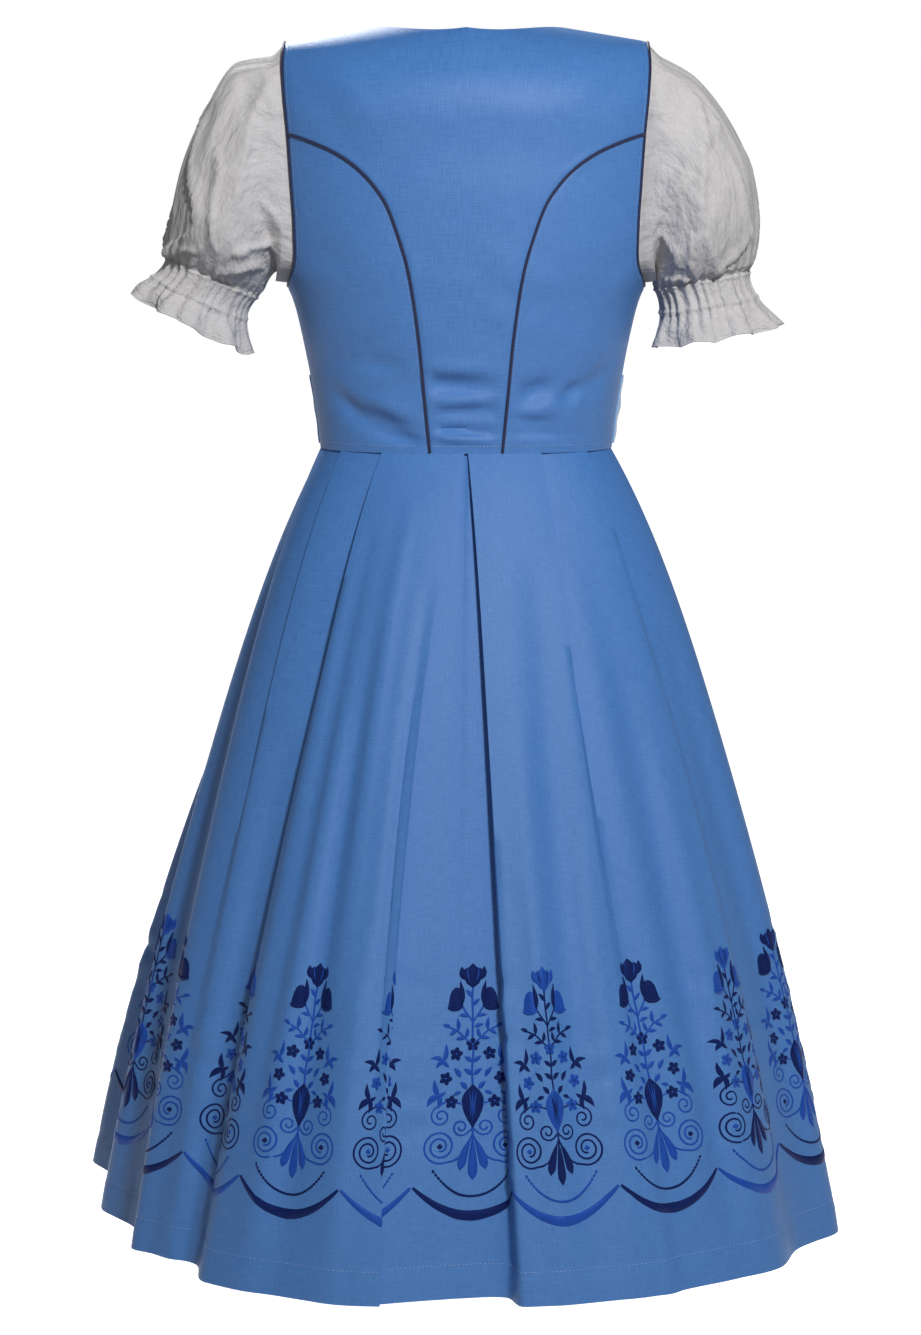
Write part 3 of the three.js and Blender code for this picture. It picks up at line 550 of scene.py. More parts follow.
SIDE_COLUMNS = 36
SIDE_BACK_HEIGHTS = even((-358, -340, 8), (-340, -220, 34), (-220, -205, 10), (-205, -110, 30),
                         (-110, -82.4, 18))
SIDE_FRONT_HEIGHTS = even((-358, -340, 8), (-340, -220, 32), (-220, -205, 10), (-205, -110.6, 30))
for suffix, hand in (("left", 1), ("right", -1)):
    panels = [
        ("side_back_", "back_side_", SIDE_BACK_HEIGHTS, back_seam_angle, back_side_angle),
        ("side_front_", "front_side_", SIDE_FRONT_HEIGHTS, front_seam_angle, front_side_angle),
    ]
    for name, node, heights, inner_edge, outer_edge in panels:
        place = panel_place(hand, heights, SIDE_COLUMNS, inner_edge, outer_edge)
        panel = cloth_from_grid(name + suffix, SIDE_COLUMNS, len(heights) - 1, place, blue_twill)
        stand_for(panel, node + suffix[0])

# %% [markdown]
# The two centre fronts meet edge to edge under the buttons. They run from the waist up the scooped
# neckline to the shoulder seams.

# %% The centre fronts
FRONT_HEIGHTS = even((-358, -340, 8), (-340, -156, 44), (-156, -150, 4), (-150, -149, 5), (-149, -146, 5),
                     (-146, -140, 6), (-140, -108, 20), (-108, RIDGE, 44))


def front_inner_angle(height):
    across = np.where(height < -150, HALF_GAP, np.maximum(HALF_GAP, front_neck(height)))
    return angle_at(across, height, True)


def front_outer_angle(height):
    across = np.where(height < -110, front_princess(height) - HALF_GAP, armhole_before(height))
    return angle_at(across, height, True)


FRONT_COLUMNS = 44
for suffix, hand in (("left", 1), ("right", -1)):
    place = panel_place(hand, FRONT_HEIGHTS, FRONT_COLUMNS, front_inner_angle, front_outer_angle)
    panel = cloth_from_grid("centre_front_" + suffix, FRONT_COLUMNS, len(FRONT_HEIGHTS) - 1, place,
                            blue_twill)
    stand_for(panel, "front_centre_" + suffix[0])

# %% [markdown]
# Piping is a bias strip folded over a cord and caught in a seam. It stands on the curved back seams
# and edges the armholes. A ring of points is carried along each seam and closed to a cord.

# %% Piping
def cord_place(line, across, normals, half_wide, half_high, sides):
    lengths = lengths_along(line)

    def place(column, row):
        turn = column / sides * 2 * math.pi
        points = line[row] + across[row] * (half_wide * np.cos(turn))[:, None]
        points = points + normals[row] * (half_high * np.sin(turn))[:, None]
        return points, np.stack([column / sides * 7 + lengths[row] * 0.7, lengths[row]], -1)

    return place


def close_ends(piece):
    select_only(piece)
    bpy.ops.object.mode_set(mode="EDIT")
    bpy.ops.mesh.select_all(action="SELECT")
    bpy.ops.mesh.fill_holes(sides=0)
    bpy.ops.object.mode_set(mode="OBJECT")


PIPING_SIDES = 10
for suffix, hand in (("left", 1), ("right", -1)):
    heights = even((-357, -200, 70), (-200, -110, 60), (-110, -81.5, 52))
    angles = hand * angle_at(back_princess(heights), heights)
    normals = bodice_normal(angles, heights)
    line = bodice_face(angles, heights) + normals * 0.75
    across = unit(np.cross(np.gradient(line, axis=0), normals))
    place = cord_place(line, across, normals, 1.35, 1.0, PIPING_SIDES)
    piping = cloth_from_grid("back_seam_piping_" + suffix, PIPING_SIDES, len(heights) - 1, place,
                             navy_piping, wall=0, closed=True)
    close_ends(piping)
    stand_for(piping, "princess_piping_" + suffix[0])

# %% [markdown]
# The armhole is a closed loop: over the back from the shoulder seam, under the arm and up the
# front. The piping and the sleeve both hang from it.

# %% The armhole loop and its piping
def armhole_loop(hand, count):
    heights = even((39.956, -180, 150), (-180, -215.9, 80))

    def half_loop(front):
        edge = armhole_before(heights) if front else armhole_behind(heights)
        angles = hand * angle_at(edge, heights, front)
        angles = np.append(angles, hand * math.pi / 2)
        levels = np.append(heights, UNDERARM_Z)
        points, normals = bodice_face(angles, levels), bodice_normal(angles, levels)
        if front:
            points, normals = points[::-1], normals[::-1]
        lengths = lengths_along(points)
        at = np.arange(count // 2) / (count // 2) * lengths[-1]
        return [points_at(at, lengths, part) for part in (points, normals)]

    behind, before = half_loop(False), half_loop(True)
    points = np.concatenate([behind[0], before[0]])
    normals = unit(np.concatenate([behind[1], before[1]]))
    along = unit(np.roll(points, -1, axis=0) - np.roll(points, 1, axis=0))
    away = unit(np.cross(along, normals)) * hand
    return points, normals, away


ARMHOLE_STEPS = 240
for suffix, hand in (("left", 1), ("right", -1)):
    points, normals, away = armhole_loop(hand, ARMHOLE_STEPS)
    line = points + away * 1.5 - normals * 0.5
    closed_line = [np.concatenate([part, part[:1]]) for part in (line, away, normals)]
    place = cord_place(*closed_line, 1.3, 1.15, PIPING_SIDES)
    piping = cloth_from_grid("armhole_piping_" + suffix, PIPING_SIDES, ARMHOLE_STEPS, place, navy_piping,
                             wall=0, closed=True, middle=(hand * 0.157, 0, -0.1))
    select_only(piping)
    bpy.ops.object.mode_set(mode="EDIT")
    bpy.ops.mesh.select_all(action="SELECT")
    bpy.ops.mesh.normals_make_consistent(inside=False)
    bpy.ops.object.mode_set(mode="OBJECT")
    stand_for(piping, "armhole_piping_" + suffix[0])

# %% [markdown]
# The skirt is one round of cloth laid in pleats at the waist. Each fold of the cloth is one row: its
# place along the hem, along the waist, how far it is tucked behind the waistline, where it ends in
# plan, and how far it swings aside half way down.

# %% The folds of the skirt
# cloth, waist, tuck, x, y, bow
SKIRT_FOLDS = [
    (-1155, -360, 0, 0, -300, 0), (-1045, -309, 7.5, -108, -284, 0), (-995, -322, 0, -148, -300, 0),
    (-915, -275, 7.5, -214, -262, 0), (-870, -288, 0, -252, -262, 0), (-795, -235, 7.5, -288, -204, 0),
    (-740, -248, 0, -328, -180, 0), (-660, -192, 7.5, -312, -110, 0), (-590, -205, 0, -343, -50, 0),
    (-500, -147, 7.5, -316, 30, 0), (-434, -160, 0, -335, 93, 0), (-366, -99, 7.5, -293, 146, 0),
    (-306, -112, 0, -270, 201, 6), (-206, -53, 7.5, -187, 256, 14), (-186, -66, 0, -171, 269, 16),
    (-61, -1.6, 0, -50, 301, 5), (-30, -13, 7.5, -34, 277, -5), (13, 0, 8, 9, 280, 0),
    (90, 13, 5, 80, 296.5, 8), (114, 1.6, 0, 74, 300, 8), (157.5, 30, 0, 112, 294, 2),
    (282, 75, 0, 224, 237, -8), (329, 62, 7.5, 235, 190, -8), (368, 118, 0, 262, 172, 0),
    (384, 105, 7.5, 276, 159, 0), (411, 165, 0, 296, 143, 0), (457, 152, 7.5, 293, 98, 0),
    (547, 208, 0, 336, 18, 0), (600, 194, 7.5, 318, -36, 0), (700, 250, 0, 358, -132, 0),
    (748, 237, 7.5, 318, -160, 0), (816, 288, 0, 290, -222, 0), (856, 275, 7.5, 252, -226, 0),
    (950, 322, 0, 184, -294, 0), (990, 309, 7.5, 148, -280, 0), (1155, 360, 0, 0, -300, 0),
]
HEM_CLOTH = 2310
FOLD_STEPS = 12
fold_cloth, fold_waist, fold_tuck, fold_x, fold_y, fold_bow = np.array(SKIRT_FOLDS, float).T
SPANS = len(SKIRT_FOLDS) - 1
column_span = np.minimum(np.arange(SPANS * FOLD_STEPS + 1) // FOLD_STEPS, SPANS - 1)
column_share = np.arange(SPANS * FOLD_STEPS + 1) / FOLD_STEPS - column_span
column_cloth = mix(fold_cloth[column_span], fold_cloth[column_span + 1], column_share)
print("Skirt:", SPANS, "spans between folds,", len(column_cloth), "columns round")

# %% [markdown]
# At the waist the cloth is pressed and sewn flat against the bodice's edge, folded back and forth. A
# little below, the pleats open to their full depth, and at the hem the cloth swings in round waves.
# Between the two, each point moves out along its own line.

# %% The skirt's surface
HALF_WAIST = 360
HALF_WALL = 0.6


def waist_line():
    angles = np.linspace(0, math.pi, 361)
    points = bodice_face(angles, np.full(361, float(WAIST_Z)))
    lengths = lengths_along(points)
    return lengths * HALF_WAIST / lengths[-1], angles


waist_lengths, waist_angles = waist_line()


def waist_plan(distance, tuck):
    angle = np.sign(distance) * np.interp(np.abs(distance), waist_lengths, waist_angles)
    level = np.full_like(angle, float(WAIST_Z))
    return (bodice_face(angle, level) + bodice_normal(angle, level) * (-HALF_WALL - tuck)[:, None])[:, :2]


def hem_fold(index):
    turns = np.floor_divide(index, SPANS)
    row = index - turns * SPANS
    return fold_cloth[row] + turns * HEM_CLOTH, np.stack([fold_x[row], fold_y[row]], -1)


def hem_plan(span, share):
    (c0, p0), (c1, p1), (c2, p2), (c3, p3) = [hem_fold(span + offset) for offset in (-1, 0, 1, 2)]
    length = c2 - c1
    leave = (p2 - p0) * (length / (c2 - c0))[:, None]
    arrive = (p3 - p1) * (length / (c3 - c1))[:, None]
    return curve(p1, p2, leave, arrive, share[:, None])


SKIRT_ROWS = 112
PLEATS_OPEN_AT = 0.07
PRESSED = 0.4
row_drop = (np.arange(SKIRT_ROWS + 1) / SKIRT_ROWS) ** 1.15
spread = row_drop + row_drop * (1 - row_drop) * (0.4 + 0.55 * (1 - row_drop) ** 4)
waist_place = mix(fold_waist[column_span], fold_waist[column_span + 1], column_share)
tuck_depth = mix(fold_tuck[column_span], fold_tuck[column_span + 1], column_share)
opening = np.sin(np.minimum(1, row_drop / PLEATS_OPEN_AT) * math.pi / 2)[:, None, None]
pressed_plan = waist_plan(waist_place, tuck_depth * PRESSED)
top_plan = mix(pressed_plan, waist_plan(waist_place, tuck_depth), opening)
low_plan = hem_plan(column_span, column_share)
bow = mix(fold_bow[column_span], fold_bow[column_span + 1], column_share)
skirt = np.zeros((SKIRT_ROWS + 1, len(column_cloth), 3))
skirt[:, :, :2] = mix(top_plan, low_plan[None], spread[:, None, None])
skirt[:, :, 0] += bow[None] * (4 * row_drop * (1 - row_drop))[:, None]
skirt[:, :, 2] = mix(WAIST_Z - 0.3, HEM_Z, row_drop)[:, None]
skirt[:, -1] = skirt[:, 0]


def surface_normals(surface):
    around = np.concatenate([surface[:, -2:-1], surface, surface[:, 1:2]], axis=1)
    sideways = around[:, 2:] - around[:, :-2]
    downwards = np.gradient(surface, axis=0)
    return unit(np.cross(sideways, downwards))


skirt += surface_normals(skirt) * HALF_WALL
print("Skirt surface", skirt.shape, "width", round(float(np.ptp(skirt[:, :, 0])), 1))

# %% [markdown]
# Between the main folds the cloth has softer ones, and the turned up hem and the dense embroidery
# pull it into small puckers. Each is a row: its place along the cloth at its top and its foot, the
# drops between which it runs, its width and its rise.

# %% Soft folds of the skirt
# cloth at the top, cloth at the foot, drop where it starts, drop where it ends, half width, rise
SOFT_FOLDS = [
    (-150, -128, 0.10, 0.98, 22, -3.0), (-112, -96, 0.30, 1.10, 16, 2.4),
    (-86, -80, 0.50, 1.05, 11, -2.0), (-176, -160, 0.45, 1.15, 12, 2.2),
    (-232, -236, 0.12, 0.95, 18, 2.8), (-262, -268, 0.25, 1.10, 15, -3.2),
    (-288, -290, 0.35, 0.98, 10, 2.2), (-330, -336, 0.20, 1.00, 14, 2.6),
    (-392, -400, 0.20, 1.05, 16, -3.0), (-46, -45, 0.10, 0.90, 7, 1.6),
    (128, 132, 0.15, 0.85, 10, -2.0), (176, 190, 0.05, 0.70, 14, 2.2), (196, 214, 0.20, 1.10, 16, -3.2),
    (222, 240, 0.30, 1.05, 13, 2.6), (246, 262, 0.08, 0.80, 11, -2.2), (150, 165, 0.55, 1.15, 13, 2.2),
    (302, 306, 0.15, 0.95, 9, 2.0), (345, 350, 0.35, 1.10, 10, -2.4), (432, 436, 0.25, 1.05, 12, -2.2),
    (500, 508, 0.10, 1.00, 18, -3.0), (525, 530, 0.40, 1.10, 12, 2.2), (650, 655, 0.15, 1.05, 22, -3.2),
    (680, 690, 0.45, 1.10, 14, 2.4), (780, 784, 0.20, 1.00, 16, -2.6), (900, 905, 0.10, 1.10, 20, -3.2),
    (930, 934, 0.40, 1.00, 12, 2.2), (1040, 1046, 0.15, 1.05, 22, -3.0),
    (1090, 1088, 0.35, 1.10, 18, 2.6), (-1100, -1096, 0.20, 1.05, 22, -3.0),
    (-1020, -1016, 0.30, 1.00, 14, 2.2), (-955, -950, 0.12, 1.10, 18, -3.2),
    (-900, -894, 0.35, 1.00, 12, 2.0), (-830, -826, 0.20, 1.10, 18, -2.8),
    (-765, -762, 0.40, 1.05, 14, 2.2), (-700, -694, 0.10, 1.00, 18, -3.0),
    (-625, -620, 0.30, 1.10, 14, 2.4), (-545, -540, 0.15, 1.05, 18, -3.0),
    (-468, -462, 0.35, 1.00, 12, 2.4),
]


SOFT_FOLD_GAIN = 1.9
PUCKER_GAIN = 1.5


def soft_fold_field():
    total = np.zeros(skirt.shape[:2])
    for top, foot, start, end, width, rise in SOFT_FOLDS:
        place = mix(top, foot, row_drop)[:, None]
        share = np.clip((row_drop - start) / (end - start), 0, 1)
        strength = np.sin(math.pi * share) ** 0.7
        away = np.abs(column_cloth[None] - place)
        away = np.minimum(away, HEM_CLOTH - away)
        total += SOFT_FOLD_GAIN * rise * strength[:, None] * np.exp(-(away / width) ** 2)
    return total


HEM_TURN = 28
hem_height = (1 - row_drop) * (WAIST_Z - HEM_Z)


def hem_field():
    lap = 0.45 / (1 + np.exp((hem_height - HEM_TURN) / 1.2))
    groove = -0.45 * np.exp(-((hem_height - HEM_TURN) / 3.5) ** 2)
    wobble = np.sin(column_cloth / 9.0) * np.sin(column_cloth / 23.0 + 1)
    pull = np.exp(-((hem_height - HEM_TURN) / 14) ** 2)[:, None] * wobble[None] * 0.8
    return (lap + groove)[:, None] + pull


# height above the hem, half height, rise of the puckers between two motifs
PUCKERS = [
    (112, 4.0, 0.9), (136, 4.5, -1.5), (158, 4.0, 1.0), (176, 4.5, -1.7), (196, 4.5, 1.1),
    (215, 4.5, -1.5), (238, 5.0, 0.8), (262, 6.0, -1.1),
]
SCALLOP = 105


def pucker_field():
    number = np.floor(column_cloth / SCALLOP)
    between = (column_cloth / SCALLOP - number - 0.5) * SCALLOP
    total = np.zeros(skirt.shape[:2])
    for order, (height, tall, rise) in enumerate(PUCKERS):
        vary = np.sin(number * 2.3 + order * 1.7)
        level = height + 7 * vary + 5 * np.cos(between / 16 + vary * 2)
        reach = 17 + 5 * np.sin(number * 1.1 + order * 2.9)
        strength = PUCKER_GAIN * rise * (0.65 + 0.45 * np.sin(number * 3.7 + order * 0.9))
        upwards = (hem_height[:, None] - level[None]) / tall
        total += strength[None] * np.exp(-upwards ** 2 - (between / reach)[None] ** 2)
    return total


skirt += surface_normals(skirt) * (soft_fold_field() + hem_field() + pucker_field())[:, :, None]
skirt[:, -1] = skirt[:, 0]
skirt_normals = surface_normals(skirt)

# %% [markdown]
# The round is sewn from three pieces, with a seam at the centre back, deep in the middle pleat, and
# one at each side, hidden in a fold.

# %% The skirt panels
def column_of(cloth):
    return int(np.argmin(np.abs(column_cloth - cloth)))


SEAM_DIP = 0.7


def skirt_place(start, width):
    def place(column, row):
        at = (start + column) % (len(column_cloth) - 1)
        drop = SKIRT_ROWS - row
        points = skirt[drop, at].copy()
        towards = np.where(column == 0, 1, np.where(column == width, -1, 0))
        step = unit(skirt[drop, (at + 1) % (len(column_cloth) - 1)] - skirt[drop, at - 1])
        points += step * (HALF_GAP * towards)[:, None]
        seam_dip = np.exp(-(np.minimum(column, width - column) / 1.2) ** 2) * SEAM_DIP
        points -= skirt_normals[drop, at] * seam_dip[:, None]
        wraps = np.where(start + column >= len(column_cloth) - 1, HEM_CLOTH, 0)
        return points, np.stack([column_cloth[at] + wraps, -row_drop[drop] * (WAIST_Z - HEM_Z)], -1)

    return place


SKIRT_SEAMS = {"back": 13, "left": 487, "right": -560}
skirt_seams = {side: column_of(cloth) for side, cloth in SKIRT_SEAMS.items()}
for name, node, start, end in (
    ("skirt_left_back", "skirt_back_left", "back", "left"),
    ("skirt_whole_front", "skirt_front", "left", "right"),
    ("skirt_right_back", "skirt_back_right", "right", "back"),
):
    width = (skirt_seams[end] - skirt_seams[start]) % (len(column_cloth) - 1)
    place = skirt_place(skirt_seams[start], width)
    panel = cloth_from_grid(name, width, SKIRT_ROWS, place, blue_twill, smooth=65)
    stand_for(panel, node)

# %% [markdown]
# The puff sleeves hang from the armhole in rings: out over the shoulder, down to an elastic casing
# that gathers them round the arm, and on to a ruffle. turn 0 is the outer side, 90 degrees the back.

# %% The rings of the sleeves
# outer x, outer z, inner x, inner z, half depth, height of the flutes
LEFT_SLEEVE = [
    (202, -17, 166.5, -201, 70, 0.4), (233, -62, 170, -202, 76, 0.6), (254, -112, 173.5, -205, 76, 0.8),
    (264, -158, 177, -210, 68, 1.0), (268, -181, 181, -217, 54, 1.0), (267, -189, 187, -224, 45, 0.8),
    (281, -207, 197, -245, 45, 1.0), (292, -213, 195, -261, 52, 3.0), (298, -221, 192, -275, 58, 5.0),
]
RIGHT_SLEEVE = [
    (200, -28, 165.5, -200, 70, 0.4), (232, -66, 167, -201, 76, 0.6),
    (253, -112, 167.5, -203.5, 76, 0.8), (259, -160, 167.5, -207, 68, 1.0),
    (256, -192, 167.5, -211.5, 54, 1.0), (252, -202, 169, -217, 45, 0.8),
    (260, -225, 174, -239, 45, 1.0), (270, -239, 170, -255, 52, 3.0), (279, -250, 167, -269, 58, 5.0),
]
SLEEVE_COLUMNS = 216
sleeve_turn = np.arange(SLEEVE_COLUMNS) / SLEEVE_COLUMNS * 2 * math.pi


def sleeve_rings(hand, table):
    points, normals, away = armhole_loop(hand, SLEEVE_COLUMNS)
    upper = np.maximum(0, np.cos(sleeve_turn))
    raised = points + np.stack([np.full(SLEEVE_COLUMNS, hand * 11.0), np.zeros(SLEEVE_COLUMNS),
                                -12 * upper ** 1.5 + 6 * (1 - upper)], -1)
    under_edge = ((-5.5, 4.2), (-0.5, 3.6), (3.5, 3.2))
    rings = [points + away * reach - normals * below for reach, below in under_edge]
    rings.append(raised)
    for outer_x, outer_z, inner_x, inner_z, depth, flute in table:
        centre = np.array([hand * (outer_x + inner_x) / 2, 0, (outer_z + inner_z) / 2])
        reach = np.array([hand * (outer_x - inner_x) / 2, 0, (outer_z - inner_z) / 2])
        ring = centre + reach * np.cos(sleeve_turn)[:, None]
        ring[:, 1] += depth * np.sin(sleeve_turn)
        room = 0.35 + 0.65 * (0.5 + 0.5 * np.cos(sleeve_turn))
        wave = flute * room * np.cos(11 * sleeve_turn + 0.6)
        rings.append(ring + unit(ring - centre) * wave[:, None])
    return np.array(rings)


def between_rings(rings, at):
    tangents = calm_tangents(np.diff(rings, axis=0))
    row = np.clip(np.floor(at).astype(int), 0, len(rings) - 2)
    return curve(rings[row], rings[row + 1], tangents[row], tangents[row + 1], (at - row)[:, None, None])


# %% [markdown]
# Thin cotton falls from the shoulder in a few long folds, bunches where the elastic draws it in, and
# spreads again in flutes below. The long folds are listed one by one: the points of the sleeve that each
# one runs through, how wide and deep it is in millimetres, and to which side it leans over. The front
# has the same kinds of folds at places of its own.

# %% Folds of the sleeves
# points of turn in degrees and ring, half width, depth, lean
LEFT_FOLDS = [
    ([(27, 2.7), (53, 3.4), (70, 3.85), (82, 4.2), (94, 4.8)], 7, -3.8, 1),
    ([(25, 3.1), (38, 4.2), (50, 5.0), (48, 5.6)], 9, -2.6, 0),
    ([(34, 4.4), (22, 4.9), (32, 5.2), (43, 5.86), (60, 6.2), (66, 6.7)], 7, -4.2, -1),
    ([(56, 4.9), (72, 5.2), (77, 5.75), (85, 6.45), (95, 7.0)], 6, -3.6, 1),
    ([(106, 4.2), (117, 3.5), (129, 2.9)], 5, -2.4, 1),
    ([(132, 4.8), (137, 4.2), (144, 3.2)], 5, -2.6, -1),
    ([(104, 6.7), (118, 6.2), (133, 4.7), (136, 3.4)], 5, -3.0, 1),
    ([(93, 8.2), (120, 7.2), (152, 5.8)], 5, -3.0, -1), ([(5, 8.5), (30, 7.8), (68, 6.6)], 5, -3.2, 1),
    ([(20, 8.6), (48, 7.7), (76, 7.3)], 4, -2.8, -1), ([(350, 8.0), (12, 7.2), (30, 6.4)], 5, -3.0, 1),
    ([(40, 3.6), (62, 5.0), (72, 6.2)], 10, 2.4, 0),
    ([(332, 2.8), (306, 3.6), (288, 4.4), (276, 5.0)], 7, -3.6, -1),
    ([(318, 4.6), (330, 5.2), (312, 6.2), (296, 6.8)], 6, -4.0, 1),
    ([(292, 5.0), (282, 6.0), (268, 7.1)], 6, -3.4, -1),
    ([(252, 6.5), (232, 4.8), (226, 3.4)], 5, -2.8, 1),
    ([(266, 8.2), (236, 7.0), (212, 5.8)], 5, -2.6, 1),
    ([(352, 8.4), (322, 7.6), (298, 7.0)], 5, -3.0, 1),
]
RIGHT_FOLDS = [
    ([(37, 3.7), (38, 4.2), (50, 4.45), (67, 4.7), (87, 5.3), (102, 6.0)], 7, -4.4, 1),
    ([(70, 4.5), (95, 4.3), (118, 3.6), (133, 2.9)], 6, -3.4, 1),
    ([(33, 4.8), (50, 4.72), (64, 4.66)], 5, -3.2, -1),
    ([(44, 5.4), (45, 6.45), (46, 7.3)], 6, -3.4, 1),
    ([(130, 3.4), (130, 5.1), (127, 7.0)], 6, -3.2, -1),
    ([(28, 7.0), (52, 7.4), (82, 8.3)], 5, -2.8, 1), ([(94, 6.2), (84, 7.4), (76, 8.4)], 5, -3.2, 1),
    ([(60, 5.8), (68, 6.8), (66, 8.2)], 10, 2.4, 0), ([(14, 5.4), (18, 6.8), (24, 8.4)], 6, -3.2, 1),
    ([(110, 5.6), (113, 7.0), (104, 8.4)], 5, -2.8, -1),
    ([(150, 7.6), (122, 7.9), (100, 8.5)], 4, -2.4, 1),
    ([(324, 3.5), (318, 4.3), (296, 4.7), (276, 5.4)], 7, -4.0, -1),
    ([(262, 4.4), (240, 3.7), (228, 3.0)], 6, -3.0, -1),
    ([(310, 5.3), (314, 6.5), (308, 7.4)], 6, -3.4, -1),
    ([(232, 3.6), (228, 5.2), (236, 6.9)], 5, -3.0, 1),
    ([(334, 7.0), (306, 7.5), (280, 8.3)], 5, -2.8, 1),
    ([(268, 6.0), (274, 7.3), (284, 8.4)], 5, -3.0, -1),
]


SLEEVE_FOLD_GAIN = 1.25


def one_fold(surface, normals, points, half_width, depth, lean):
    turns, rings = np.array(points, float).T
    turns = np.degrees(np.unwrap(np.radians(turns)))
    share = np.linspace(0, 1, 34)
    keys = np.linspace(0, 1, len(turns))
    ring = np.interp(share, keys, rings)
    rows = np.interp(ring, SLEEVE_AT, np.arange(len(SLEEVE_AT))).round().astype(int)
    columns = (np.interp(share, keys, turns) / 360 * SLEEVE_COLUMNS).round().astype(int) % SLEEVE_COLUMNS
    path = surface[rows, columns]
    sideways = unit(np.cross(np.gradient(path, axis=0), normals[rows, columns]))
    apart = surface[:, :, None] - path
    distance = np.linalg.norm(apart, axis=-1)
    nearest = np.argmin(distance, axis=-1)
    to_nearest = np.take_along_axis(apart, nearest[..., None, None], axis=2)[:, :, 0]
    signed = np.sum(to_nearest * sideways[nearest], axis=-1)
    wide = np.where(signed * lean > 0, half_width * 0.45, half_width) if lean else half_width
    strength = np.sin(math.pi * share[nearest]) ** 0.5
    return SLEEVE_FOLD_GAIN * depth * strength * np.exp(-(distance.min(axis=-1) / wide) ** 2)


def sleeve_relief(surface, normals, folds, at, left):
    total = sum(one_fold(surface, normals, *fold) for fold in folds)
    shift = 0.0 if left else 1.7
    angle = sleeve_turn[None]
    gathers = np.cos(29 * angle + 1.6 * np.sin(3 * angle + shift) + 1.1 * np.sin(7 * angle + shift))
    sharper = np.sign(gathers) * np.abs(gathers) ** 0.8
    pull = np.interp(at, [5.8, 7.2, 8.2, 9.0, 10.0, 10.7, 12.0],
                     [0, 0.35, 1.5, 1.5, 1.5, 0.9, 0.15])[:, None]
    total += pull * sharper * (0.75 + 0.35 * np.sin(2 * angle + shift * 2))
    for stitched in (9.05, 9.95):
        total += -1.3 * np.exp(-((at - stitched) / 0.09) ** 2)[:, None]
    total += 0.9 * np.exp(-((at - 9.5) / 0.3) ** 2)[:, None]
    flutes = np.cos(7 * angle + 1.3 * np.sin(2 * angle + 1 + shift) + shift)
    total += np.interp(at, [10.0, 12.0], [0, 4.6])[:, None] * flutes
    crown = np.interp(at, [2.0, 3.2, 5.2], [0, 0.7, 0])[:, None]
    total += crown * np.cos(17 * angle + 1.4 * np.sin(2 * angle)) * (np.cos(angle) > -0.2)
    hem = 0.5 * np.exp(-((at - 11.86) / 0.04) ** 2)[:, None]
    return total + hem


# %% [markdown]
# A row of the sleeve's mesh lies closer to the next where the cloth is more bunched. The relief is
# laid along the surface's own normals, from the armhole to the ruffle's edge.

# %% The sleeves
SLEEVE_AT = even((0, 3, 6), (3, 8, 42), (8, 9, 12), (9, 10, 14), (10, 12, 26))


def sleeve_surface(hand, table, folds):
    rings = sleeve_rings(hand, table)
    surface = between_rings(rings, SLEEVE_AT)
    around = np.roll(surface, -1, axis=1) - np.roll(surface, 1, axis=1)
    along = np.gradient(surface, axis=0)
    normals = unit(np.cross(around, along)) * hand
    relief = sleeve_relief(surface, normals, folds, SLEEVE_AT, hand > 0)
    under_cloth = np.interp(SLEEVE_AT, [2.6, 3.4], [0, 1])[:, None]
    return surface + normals * (relief * under_cloth)[:, :, None]


for suffix, hand, table, folds in (
    ("left", 1, LEFT_SLEEVE, LEFT_FOLDS),
    ("right", -1, RIGHT_SLEEVE, RIGHT_FOLDS),
):
    surface = sleeve_surface(hand, table, folds)

    def place(column, row, surface=surface):
        at = len(SLEEVE_AT) - 1 - row
        points = surface[at, column % SLEEVE_COLUMNS]
        return points, np.stack([column / SLEEVE_COLUMNS * 420, -at * 3.0], -1)

    sleeve = cloth_from_grid("puff_sleeve_" + suffix, SLEEVE_COLUMNS, len(SLEEVE_AT) - 1, place,
                             white_cotton, wall=0.8, closed=True, middle=(hand * 0.22, 0, -0.16), smooth=70)
    stand_for(sleeve, "sleeve_" + suffix[0])

# %% [markdown]
# The blouse's body is a short shell under the bodice. It shows only in the neckline, where a narrow
# hem gathers it a little.

# %% The blouse body
BLOUSE_COLUMNS = 72
BLOUSE_HEIGHTS = even((-264, -226, 8), (-226, -190, 16), (-190, -60, 20), (-60, RIDGE, 18))


def blouse_edge(height, front):
    limit = math.pi / 2 + (HALF_GAP / 110 if front else -HALF_GAP / 110)
    shifted = height + 10
    inset = 9 * np.minimum(1, np.maximum(shifted - UNDERARM_Z, 0) / 20)
    level = np.where(height < -190, shifted, height)
    edge = armhole_before(level) if front else armhole_behind(level)
    angle = angle_at(edge - inset, height, front)
    angle = np.maximum(limit, angle) if front else np.minimum(limit, angle)
    return np.where(shifted <= UNDERARM_Z + 1, limit, angle)


def blouse_place(front):
    def place(column, row):
        side = 2 * column / BLOUSE_COLUMNS - 1
        across = np.abs(side) * 150
        behind_top = RIDGE - (NECK_DROP + 6) * (1 - np.minimum(1, across / 96) ** 2.2)
        before_top = RIDGE - 182 * (1 - np.minimum(1, across / 90) ** 4)
        top = before_top if front else behind_top
        height = BLOUSE_HEIGHTS[row]
        level = np.where(height <= -175, height, mix(-175, top, (height + 175) / (RIDGE + 175)))
        edge = blouse_edge(level, front)
        angle = math.pi - side * (math.pi - edge) if front else side * edge
        share = np.clip((height + 60) / (RIDGE + 60), 0, 1)
        gather = 0.45 * share * np.cos(column * 0.9 + np.sin(column * 0.31) * 2)
        points = bodice_face(angle, level) + bodice_normal(angle, level) * (-3.0 - 0.35 + gather)[:, None]
        return points, np.stack([angle * 120, level], -1)

    return place


